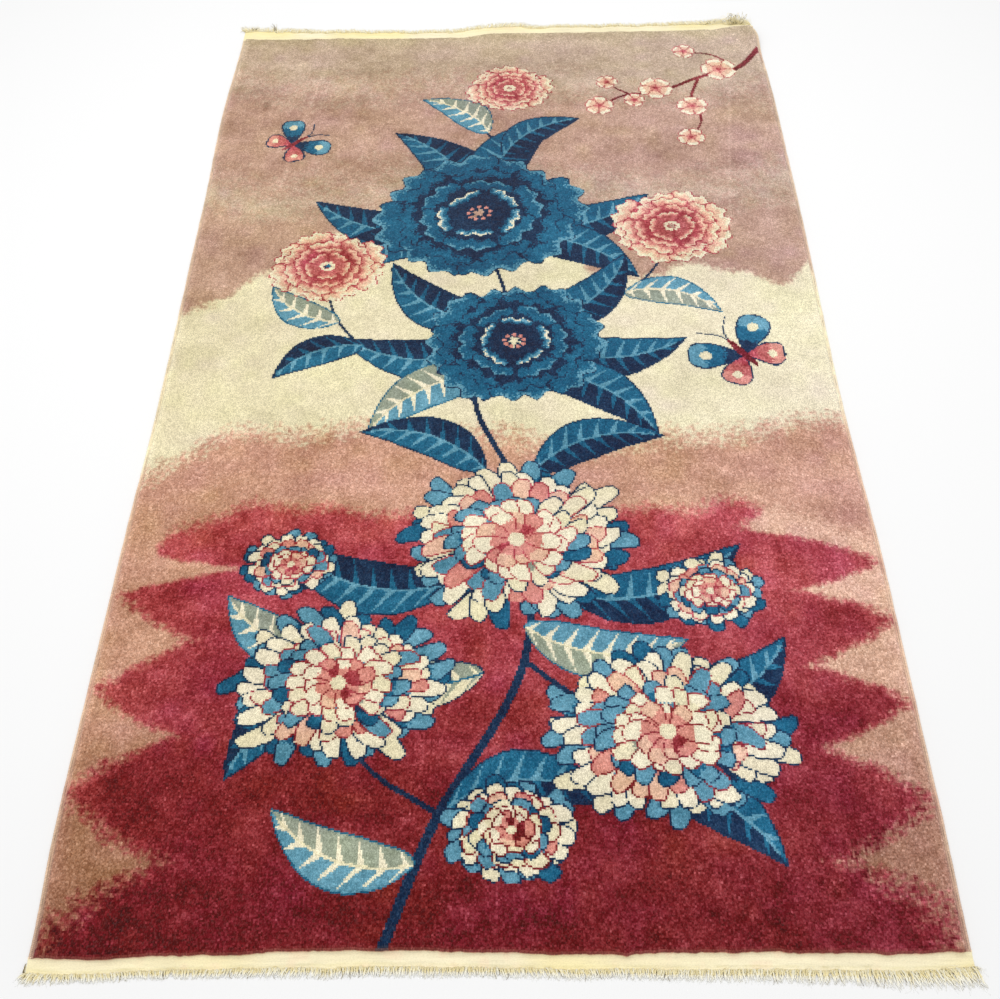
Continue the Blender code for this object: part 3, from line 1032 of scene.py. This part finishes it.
def make_web(end, material):
    """The flat-woven strip across an end, a closed slab of even columns."""
    left, right = web_limits(end)
    xs = np.linspace(left, right, round((right - left) / WEB_PITCH) + 1)
    widest = max(getattr(row, f"{end}_web") for row in ENDS) * MM
    rows = round(widest / WEB_ROW) + 1
    outward = np.linspace(0, 1, rows)
    x, share = np.meshgrid(xs, outward, indexing="ij")
    reach = web_width(x, end)
    y = end_y(x, end, -WEB_TUCK + share * (reach + WEB_TUCK))
    top = web_height(x, y, share, end)
    wander = FOLD * reach + 1.2 * MM * ripple(x, 60 * MM, seed=91)
    from_fold = (share * reach - wander) / FOLD_WIDTH
    top += 0.5 * MM * np.exp(-(from_fold**2)) - 0.35 * MM * np.exp(-((from_fold - 1.6) ** 2))
    lifted = lift(x, y)
    upper = np.stack([x, y, lifted + top], axis=-1)
    under = np.stack([x, y, lifted + UNDERSIDE], axis=-1)[:, [-1, 0]]
    rings = np.concatenate([upper, under], axis=1)
    sides = rows + 2
    if end == "near":
        rings = rings[::-1]
    quads = tube_quads(1, len(xs), sides)
    web = add_mesh(f"web_{end}", rings.reshape(-1, 3), quads, material, tube_caps(1, len(xs), sides))
    web.data.set_sharp_from_angle(angle=WEB_SHARP)

    colour = web_colours(x, y, share, reach, from_fold, end)
    plain = np.broadcast_to(CREAM, (len(xs), 2, 3))
    colour = np.concatenate([colour[:, :-1], plain, plain[:, :1]], axis=1)
    if end == "near":
        colour = colour[::-1]
    paint_faces(web, np.concatenate([colour[:-1].reshape(-1, 3), [CREAM, CREAM]]))
    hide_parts(f"end_{end}")
    return web


# --- the fringes ------------------------------------------------------------------------------------

Corner = namedtuple("Corner", "start stop lean")  # where along x an end's fringe comes to lean, degrees
CORNER_LEANS = {
    "near": (Corner(-0.54, -0.61, -40), Corner(0.33, 0.56, 24)),
    "far": (Corner(-0.50, -0.60, -30), Corner(0.45, 0.56, -20)),
}
LEAN = 24  # degrees, by which a fringe leans to and fro away from its corners
# Kinds of strands at each end: how many, how thick in millimetres, their reach as shares of the
# fringe's length, how far they stray and curl in degrees, how high they rise in millimetres, how
# bleached their tips are, and what share of them is dark, as painted shade between the strands.
Strands = namedtuple("Strands", "count radius short long stray curl rise bleach soiled")
STRANDS = (
    Strands(700, 1.15, 0.60, 0.98, 9, 20, 0.6, 0.8, 0.0),
    Strands(560, 0.50, 0.50, 1.12, 20, 55, 1.5, 0.8, 0.22),
    Strands(640, 0.28, 0.80, 1.25, 30, 70, 1.6, 1.0, 0.0),
)
# How much further than an end's fringe its strands reach, how bleached they are, and how many are dark, as
# painted shade
Reach = namedtuple("Reach", "length bleach soiled")
REACHES = {
    "near": Reach(length=1.15, bleach=1.0, soiled=1.0),
    "far": Reach(length=1.5, bleach=0.5, soiled=0.15),
}
STRAND_SIDES = 4
STRAND_RINGS = 5
BUNCH_RINGS = 10
ROOT_DEPTH = 3.5 * MM  # over which a strand lies on its web's frayed edge
CLUMP = 8 * MM  # from one clump of strands to the next
CLUMPING = 1.0 * MM  # how far a strand is drawn to its clump
SCATTER = 0.5 * MM  # how far a strand strays from its even place
# Loose bunches and lone strands of warp, by where they start. Lengths and rises are in millimetres.
Bunch = namedtuple("Bunch", "end x spread count turn stray length curl rise soiled")
BUNCHES = (
    Bunch("far", 0.560, 0.018, 50, -10, 40, 38, 150, 22, 0.35),
    Bunch("far", 0.535, 0.050, 70, 20, 30, 24, 60, 6, 0.1),
    Bunch("far", -0.533, 0.003, 6, -22, 5, 44, 12, 3, 0.8),
    Bunch("far", -0.456, 0.003, 4, 15, 20, 24, 60, 3, 0.6),
    Bunch("far", -0.585, 0.020, 30, -30, 35, 17, 120, 4, 0.15),
    Bunch("near", -0.602, 0.010, 26, -25, 25, 12, 60, 3, 0.4),
    Bunch("near", -0.615, 0.001, 4, 178, 5, 12, 15, 1, 1.0),
    Bunch("near", 0.585, 0.020, 34, 36, 12, 22, 30, 1, 0.3),
    Bunch("near", 0.609, 0.002, 16, 60, 20, 10, 40, 2, 0.2),
)
BUNCH_RADIUS = 0.5 * MM
BUNCH_BLEACH = 0.2
CLEAN_WARPS = linear(((250, 238, 194), (253, 246, 218), (243, 228, 176)))
# dark warps: dirty lone strands, and dark strands as painted shade between the others
SOIL_AND_SHADE_WARPS = linear(((196, 182, 130), (156, 140, 94), (124, 108, 70)))


def corner_lean(x, end):
    """How far the fringe leans sideways at x, in degrees."""
    lean = LEAN * (0.6 * np.sin(9 * x + 1) + 0.4 * np.sin(23 * x))
    for corner in CORNER_LEANS[end]:
        share = smooth((x - corner.start) / (corner.stop - corner.start))
        lean = lean * (1 - share) + corner.lean * share
    return lean


def strand_paths(x, end, lengths, turns, curls, rises, rings, chance):
    """Paths from the top of the web's frayed edge out over the floor."""
    share = np.linspace(0, 1, rings)[None]
    turn = np.radians(turns[:, None] + curls[:, None] * (share - 0.3))
    turn += 0.25 * np.sin(math.tau * share * 1.3 + chance.uniform(0, math.tau, (len(x), 1)))
    depth = ROOT_DEPTH * chance.uniform(0.4, 1.0, len(x))
    step = (lengths + depth)[:, None] / (rings - 1)
    across = np.cumsum(np.sin(turn) * step, axis=1) - np.sin(turn) * step
    outward = np.cumsum(np.cos(turn) * step, axis=1) - np.cos(turn) * step
    path_x = x[:, None] + across
    start = end_y(x, end, web_width(x, end) - depth)
    path_y = start[:, None] + end_hand(end) * outward
    root_z = chance.uniform(0.5, 0.9, (len(x), 1)) * WEB_HEIGHT
    past_edge = outward / depth[:, None] - 0.8
    path_z = root_z * (1 - 0.7 * smooth(past_edge)) + rises[:, None] * np.sin(math.pi * share) ** 1.5
    return np.stack([path_x, path_y, path_z + lift(path_x, path_y)], axis=-1)


def strand_colours(count, rings, bleach, soiled, chance):
    """Colours of the tubes' faces, with painted shade at the root and bleached at the tip, and of their
    caps.
    """
    is_dark = chance.random((count, 1)) < soiled
    clean = CLEAN_WARPS[chance.integers(len(CLEAN_WARPS), size=count)]
    base = np.where(is_dark, SOIL_AND_SHADE_WARPS[chance.integers(len(SOIL_AND_SHADE_WARPS), size=count)], clean)
    share = ((np.arange(rings - 1) + 0.5) / (rings - 1))[None, :, None]
    # painted shade towards the root
    colour = base[:, None] * (0.84 + 0.16 * smooth(share * 2))
    bleached = smooth((share - 0.4) / 0.4) * bleach * np.where(is_dark, 0.1, 1.0)[..., None]
    colour = colour + (WHITE - colour) * bleached
    return colour.repeat(STRAND_SIDES, axis=1).reshape(-1, 3), base.repeat(2, axis=0)


def make_fringe(end, material):
    """The frayed warp ends of one end, as four-sided tubes joined in one mesh."""
    chance = np.random.default_rng(end_seed(101, end))
    left, right = web_limits(end)
    points, quads, caps, face_colours, cap_colours = [], [], [], [], []

    def add(x, lengths, lean, kind, flattest, radius, rings, bleach, soiled):
        """Adds a row of strands, which rise by at least the share flattest of their kind's rise."""
        turns = lean + chance.normal(0, kind.stray, kind.count)
        curls = chance.normal(0, kind.curl, kind.count)
        rises = kind.rise * MM * chance.uniform(flattest, 1, kind.count)
        paths = strand_paths(x, end, lengths, turns, curls, rises, rings, chance)
        taper = 1 - 0.55 * np.linspace(0, 1, rings)[None] ** 1.5
        radii = radius * chance.uniform(0.75, 1.2, (len(x), 1)) * taper
        paths[..., 2] += radii
        faces, ends = strand_colours(len(x), rings, bleach, soiled, chance)
        start = sum(map(len, points))
        points.append(tube_points(paths, radii, STRAND_SIDES))
        quads.append(tube_quads(len(x), rings, STRAND_SIDES) + start)
        caps.append(np.array(tube_caps(len(x), rings, STRAND_SIDES)) + start)
        face_colours.append(faces)
        cap_colours.append(ends)

    reach = REACHES[end]
    for kind in STRANDS:
        x = np.linspace(left, right, kind.count) + chance.normal(0, SCATTER, kind.count)
        x += CLUMPING * ripple(x, CLUMP, seed=105)
        x = np.clip(x, left, right)
        lean = corner_lean(x, end)
        lengths = end_figure(x, end, "fringe") / np.cos(np.radians(lean)) * reach.length
        lengths *= chance.uniform(kind.short, kind.long, kind.count)
        bleach, soiled = kind.bleach * reach.bleach, kind.soiled * reach.soiled
        add(x, lengths, lean, kind, 0, kind.radius * MM, STRAND_RINGS, bleach, soiled)
    for bunch in BUNCHES:
        if bunch.end == end:
            x = bunch.x + bunch.spread * chance.uniform(-1, 1, bunch.count)
            lengths = bunch.length * MM * chance.uniform(0.5, 1.1, bunch.count)
            looks = (BUNCH_RADIUS, BUNCH_RINGS, BUNCH_BLEACH, bunch.soiled)
            add(x, lengths, bunch.turn, bunch, 0.1, *looks)

    fringe = add_mesh(f"fringe_{end}", np.concatenate(points), np.concatenate(quads + caps), material)
    paint_faces(fringe, np.concatenate(face_colours + cap_colours))
    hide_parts(f"end_{end}")
    return fringe


# --- the overcast sides -----------------------------------------------------------------------------

# A cord's middle and its radius in millimetres. Its yarn has the pile's own colour beside it, with a
# share of a paler one.
WrappedCord = namedtuple("WrappedCord", "inward up radius paler")
WRAPPED_CORDS = (
    WrappedCord(2.2, 2.3, 2.15, paler=0.48),
    WrappedCord(6.0, 3.0, 2.30, paler=0.28),
)
PALER = linear((250, 228, 198))
WRAP_RING = 2.0 * MM  # between a cord's rings of points
CORD_SIDES = 8
BESIDE = 10  # columns of knots whose colours a side's cords take up
EVENING = 9  # rows of knots over which those are evened out


def side_colours(colours, hand, y):
    """The pile's own colour along a side, evened out over some rows."""
    rows = (colours[:, :BESIDE] if hand < 0 else colours[:, -BESIDE:]).mean(axis=1)
    padded = [np.pad(column, EVENING // 2, mode="edge") for column in rows.T]
    evened = [np.convolve(column, np.ones(EVENING) / EVENING, "valid") for column in padded]
    return np.stack([np.interp(y / MM, knot_y, column) for column in evened], axis=-1)


def wrap_colours(order, y, hand, pile, chance):
    """The colours of a cord's faces, ring by ring, with painted shade where it meets the other cord."""
    colour = pile + (PALER - pile) * WRAPPED_CORDS[order].paler
    tone = 1.1 + 0.12 * ripple(y, 30 * MM, seed=115 + hand + 4 * order) + chance.normal(0, 0.06, len(y))
    turns = math.tau * (np.arange(CORD_SIDES) + 1) / CORD_SIDES
    to_other = (1 if order else -1) * hand * np.cos(turns)
    parted = smooth(0.4 + 0.7 * ripple(y, 11 * MM, seed=117 + hand))[:, None]
    # painted shade on the side that faces the other cord
    shade = tone[:, None] * (1 - 0.35 * np.clip(to_other, 0, 1) * parted)
    return (colour[:, None] * shade[..., None]).reshape(-1, 3)


def make_overcast(side, hand, material, pile_colours):
    """Two wool-wrapped cords side by side along a long side."""
    chance = np.random.default_rng(111 + hand)
    start, stop = (float(end_y(side_x(np.array(0.0), hand), end)) for end in ("near", "far"))
    y = np.linspace(start, stop, round((stop - start) / WRAP_RING) + 1)
    paths, radii = [], []
    for cord in WRAPPED_CORDS:
        x = side_x(y, hand, cord.inward * MM) + 0.25 * MM * ripple(y, 22 * MM, seed=112)
        up = cord.up * MM + 0.2 * MM * ripple(y, 30 * MM, seed=113 + hand)
        paths.append(np.stack([x, y, up + lift(x, y)], axis=-1))
        swell = 1 + chance.normal(0, 0.035, len(y)) + 0.05 * ripple(y, 13 * MM, seed=114)
        radii.append(cord.radius * MM * swell)
    points = tube_points(np.array(paths), np.array(radii), CORD_SIDES)
    points[:, 2] = np.maximum(points[:, 2], lift(points[:, 0], points[:, 1]))
    quads = tube_quads(len(WRAPPED_CORDS), len(y), CORD_SIDES)
    caps = tube_caps(len(WRAPPED_CORDS), len(y), CORD_SIDES)
    cord_mesh = add_mesh(f"overcast_wool_{side}", points, quads, material, caps)
    beside = side_colours(pile_colours, hand, y[:-1])
    colours = [wrap_colours(order, y[:-1], hand, beside, chance) for order in range(len(WRAPPED_CORDS))]
    ends = np.tile(beside[[0, -1]], (len(WRAPPED_CORDS), 1))
    paint_faces(cord_mesh, np.concatenate([*colours, ends]))
    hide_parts(f"overcast_{side}")


# --- materials --------------------------------------------------------------------------------------


WAVE_BAND = 0.314  # how far apart a wave texture's bands lie at scale 1, and twice that if diagonal
WEFT_STEP = 1.3  # millimetres from one band of wefts to the next
WRAP_STEP = 2.2  # millimetres from one turn of wool to the next, along a cord


class Nodes:
    """A material's node tree, with short ways to add to it."""

    def __init__(self, name):
        self.material = bpy.data.materials.new(name)
        self.material.use_nodes = True
        self.tree = self.material.node_tree
        self.shader = self.tree.nodes["Principled BSDF"]

    def put(self, socket, value):
        if isinstance(value, bpy.types.NodeSocket):
            self.tree.links.new(value, socket)
        else:
            socket.default_value = value

    def set(self, node, **values):
        """Sets or links a node's inputs, whose names have _ for a space."""
        for name, value in values.items():
            self.put(node.inputs[name.replace("_", " ")], value)

    def add(self, kind, settings=(), **values):
        node = self.tree.nodes.new(kind)
        for name, value in dict(settings).items():
            setattr(node, name, value)
        self.set(node, **values)
        return node

    def yarn(self, shade):
        """The colour that paint_faces gave a face, times a shade."""
        colour = self.add("ShaderNodeAttribute", {"attribute_name": "yarn"}).outputs["Color"]
        node = self.add("ShaderNodeVectorMath", {"operation": "SCALE"}, Vector=colour, Scale=shade)
        return node.outputs["Vector"]

    def place(self, *sizes):
        """The place on the object in steps of a size along each axis."""
        place = self.add("ShaderNodeTexCoord").outputs["Object"]
        scale = tuple(1 / size for size in sizes)
        return self.add("ShaderNodeMapping", Vector=place, Scale=scale).outputs["Vector"]

    def noise(self, detail, *sizes):
        """Noise from 0 to 1 with features of about a size along each axis."""
        values = {"Vector": self.place(*sizes), "Scale": 1.0, "Detail": detail}
        return self.add("ShaderNodeTexNoise", **values).outputs["Fac"]

    def tufts(self, *sizes):
        """The distance from the middle of each tuft in steps of its size, and its own chance of 0 to 1."""
        settings = {"voronoi_dimensions": "2D", "feature": "F1"}
        values = {"Vector": self.place(*sizes), "Scale": 1.0}
        cells = self.add("ShaderNodeTexVoronoi", settings, **values)
        chances = self.add("ShaderNodeSeparateColor", Color=cells.outputs["Color"])
        return cells.outputs["Distance"], chances.outputs["Red"]

    def waves(self, direction, scale, distortion, detail, *sizes):
        """Bands from 0 to 1, along an axis or diagonal."""
        settings = {"wave_type": "BANDS", "bands_direction": direction}
        values = {"Vector": self.place(*sizes), "Scale": scale, "Distortion": distortion, "Detail": detail}
        return self.add("ShaderNodeTexWave", settings, **values).outputs["Fac"]

    def between(self, value, low, high, out_low, out_high):
        """value's run from low to high, as a run between the two others."""
        node = self.add("ShaderNodeMapRange", Value=value)
        self.set(node, From_Min=low, From_Max=high, To_Min=out_low, To_Max=out_high)
        return node.outputs["Result"]

    def shade(self, first, *others):
        """The product of runs, each given as between takes it."""
        shade = self.between(*first)
        for run in others:
            shade = self.math("MULTIPLY", shade, self.between(*run))
        return shade

    def math(self, operation, first, second):
        node = self.add("ShaderNodeMath", {"operation": operation})
        self.put(node.inputs[0], first)
        self.put(node.inputs[1], second)
        return node.outputs["Value"]

    def lightened(self, colour, light):
        """A colour with a grey light added."""
        node = self.add("ShaderNodeVectorMath", {"operation": "ADD"})
        self.put(node.inputs[0], colour)
        self.put(node.inputs[1], light)
        return node.outputs["Vector"]

    def mix(self, share, first, second):
        node = self.add("ShaderNodeMix", {"data_type": "RGBA"})
        colours = [socket for socket in node.inputs if socket.type == "RGBA"]
        self.put(node.inputs[0], share)
        self.put(colours[0], first)
        self.put(colours[1], second)
        return next(socket for socket in node.outputs if socket.type == "RGBA")

    def surface(self, colour, roughness, specular, height, distance, strength, sheen=0.0):
        """Sets the shader, with a height times a distance as its bump, and returns the material."""
        bump = self.add("ShaderNodeBump", Height=height, Distance=distance, Strength=strength)
        self.set(self.shader, Base_Color=colour, Roughness=roughness, Specular_IOR_Level=specular)
        self.set(self.shader, Sheen_Weight=sheen, Normal=bump.outputs["Normal"])
        return self.material


def wool_pile():
    """Cut wool tufts, two to a knot, with painted shade in the gaps between them and a little painted grey
    light on the paler ones.
    """
    nodes = Nodes("wool_pile")
    tuft, paleness = nodes.tufts(1.45 * MM, 2.2 * MM, 1.0)
    fibres = nodes.noise(3.0, 1.1 * MM, 1.4 * MM, 2 * MM)
    brushed = nodes.noise(3.0, 9 * MM, 6 * MM, 9 * MM)
    # painted shade in the gaps between tufts
    shade = nodes.shade(
        (tuft, 0.15, 0.75, 1.10, 0.78),
        (paleness, 0.0, 1.0, 0.80, 1.18),
        (fibres, 0.3, 0.7, 0.88, 1.12),
        (brushed, 0.35, 0.65, 0.95, 1.05),
    )
    colour = nodes.lightened(nodes.yarn(shade), nodes.between(paleness, 0.5, 1.0, 0.0, 0.016))
    height = nodes.math("SUBTRACT", fibres, nodes.math("MULTIPLY", tuft, 0.8))
    return nodes.surface(colour, 0.95, 0.1, height, 0.9 * MM, 0.6, sheen=0.18)


def knotted_back():
    """The knots' backs, two loops to a knot, with thin lines of cotton between them."""
    nodes = Nodes("knotted_back")
    settings = {"offset": 0.0, "squash": 1.0}
    # In millimetres: a loop's width and its length, and half a line's width
    sizes = {"Brick_Width": 1.45, "Row_Height": 2.9, "Mortar_Size": 0.16, "Mortar_Smooth": 0.5}
    bricks = nodes.add("ShaderNodeTexBrick", settings, Vector=nodes.place(MM, MM, MM), Scale=1.0, **sizes)
    weft = bricks.outputs["Fac"]
    fibres = nodes.noise(2.0, 0.8 * MM, 0.8 * MM, 0.8 * MM)
    knots = nodes.yarn(nodes.shade((fibres, 0.3, 0.7, 0.8, 1.1)))
    cotton = (*linear((214, 200, 170)), 1.0)
    colour = nodes.mix(nodes.math("MULTIPLY", weft, 0.6), knots, cotton)
    height = nodes.math("SUBTRACT", nodes.math("MULTIPLY", fibres, 0.4), weft)
    return nodes.surface(colour, 0.95, 0.1, height, 0.5 * MM, 0.7)


def cotton_web():
    """Flat-woven cotton, ribbed along its wefts."""
    nodes = Nodes("cotton_web")
    fibres = nodes.noise(3.0, 2.2 * MM, 0.9 * MM, 2 * MM)
    wefts = nodes.waves("Y", WAVE_BAND / WEFT_STEP, 1.4, 2.0, MM, MM, MM)
    warps, _ = nodes.tufts(2.9 * MM, 1.3 * MM, 1.0)
    shade = nodes.shade((fibres, 0.3, 0.7, 0.95, 1.04), (warps, 0.2, 0.8, 1.02, 0.93))
    height = nodes.math("ADD", nodes.math("MULTIPLY", wefts, 0.6), fibres)
    return nodes.surface(nodes.yarn(shade), 0.9, 0.2, height, 0.4 * MM, 0.5, sheen=0.1)


def cotton_warps():
    """Twisted cotton warp ends."""
    nodes = Nodes("cotton_warps")
    fibres = nodes.noise(2.0, 0.7 * MM, 0.7 * MM, 0.7 * MM)
    shade = nodes.shade((fibres, 0.3, 0.7, 0.90, 1.06))
    return nodes.surface(nodes.yarn(shade), 0.9, 0.2, fibres, 0.2 * MM, 0.5, sheen=0.15)


def wrapped_wool():
    """Wool yarn wrapped round a cord, turn beside turn, with painted shade in the grooves between turns."""
    nodes = Nodes("wrapped_wool")
    wraps = nodes.waves("DIAGONAL", 2 * WAVE_BAND / WRAP_STEP, 1.2, 1.0, 3.0 * MM, 1.0 * MM, 3.0 * MM)
    fibres = nodes.noise(2.0, 0.9 * MM, 0.9 * MM, 0.9 * MM)
    # painted shade in the grooves between the turns
    shade = nodes.shade((wraps, 0.0, 0.5, 0.82, 1.06), (fibres, 0.3, 0.7, 0.9, 1.08))
    height = nodes.math("ADD", wraps, nodes.math("MULTIPLY", fibres, 0.4))
    return nodes.surface(nodes.yarn(shade), 0.9, 0.15, height, 0.5 * MM, 0.8, sheen=0.15)


# --- camera, light and floor ------------------------------------------------------------------------

# The camera that took in the pile's four corners, from the middle of the pile on the floor
CAMERA_PLACE = Vector((0.0327, -1.4042, 1.5329))
CAMERA_PITCH = math.radians(54.435)  # below the horizon
CAMERA_ROLL = math.radians(-1.844)
CAMERA_YAW = math.radians(1.560)
SENSOR_WIDTH = 36.0
LENS = 1122.15 / 1000 * SENSOR_WIDTH  # from its length in pixels and the picture's width


def make_camera():
    data = bpy.data.cameras.new("camera")
    data.sensor_fit = "HORIZONTAL"
    data.sensor_width = SENSOR_WIDTH
    data.lens = LENS
    camera = bpy.data.objects.new("camera", data)
    bpy.context.scene.collection.objects.link(camera)
    turn = (
        Matrix.Rotation(CAMERA_YAW, 4, "Z")
        @ Matrix.Rotation(math.pi / 2 - CAMERA_PITCH, 4, "X")
        @ Matrix.Rotation(CAMERA_ROLL, 4, "Z")
    )
    camera.matrix_world = Matrix.Translation(CAMERA_PLACE + Vector(ORIGIN)) @ turn
    bpy.context.scene.camera = camera


FLOOR_REACH = 6.0
FLOOR_COLOUR = (0.86, 0.86, 0.86, 1.0)


def make_floor():
    corners = [(x * FLOOR_REACH, y * FLOOR_REACH, 0.0) for x, y in ((-1, -1), (1, -1), (1, 1), (-1, 1))]
    mesh = bpy.data.meshes.new("floor")
    mesh.from_pydata(corners, [], [(0, 1, 2, 3)])
    nodes = Nodes("floor")
    nodes.set(nodes.shader, Base_Color=FLOOR_COLOUR, Roughness=1.0, Specular_IOR_Level=0.0)
    mesh.materials.append(nodes.material)
    floor = bpy.data.objects.new("floor", mesh)
    bpy.context.scene.collection.objects.link(floor)


WORLD_COLOUR = (1.0, 1.0, 1.0, 1.0)
WORLD_STRENGTH = 0.75
Lamp = namedtuple("Lamp", "name place width length watts")
LAMPS = (
    Lamp("ceiling", (-0.15, 0.6, 3.0), 3.0, 2.4, 50),
    Lamp("near_fill", (0.3, -2.8, 1.8), 2.4, 1.2, 4),
)


def make_light():
    world = bpy.data.worlds.new("studio")
    world.use_nodes = True
    background = world.node_tree.nodes["Background"]
    background.inputs["Color"].default_value = WORLD_COLOUR
    background.inputs["Strength"].default_value = WORLD_STRENGTH
    bpy.context.scene.world = world
    for lamp in LAMPS:
        data = bpy.data.lights.new(lamp.name, "AREA")
        data.shape = "RECTANGLE"
        data.size, data.size_y = lamp.width, lamp.length
        data.energy = lamp.watts
        light = bpy.data.objects.new(lamp.name, data)
        light.location = lamp.place
        light.rotation_euler = (-light.location).to_track_quat("-Z", "Y").to_euler()
        bpy.context.scene.collection.objects.link(light)


def main():
    make_camera()
    colours = knot_colours(draw_chart())
    bands = make_pile(wool_pile(), colours)
    back = make_back(knotted_back(), colours)
    web_cotton, warp_cotton = cotton_web(), cotton_warps()
    webs = {end: make_web(end, web_cotton) for end in ("near", "far")}
    fringes = {end: make_fringe(end, warp_cotton) for end in ("near", "far")}
    wool = wrapped_wool()
    make_overcast("left", -1, wool, colours)
    make_overcast("right", 1, wool, colours)
    make_floor()
    make_light()
    bpy.context.scene.view_settings.view_transform = "Standard"


main()
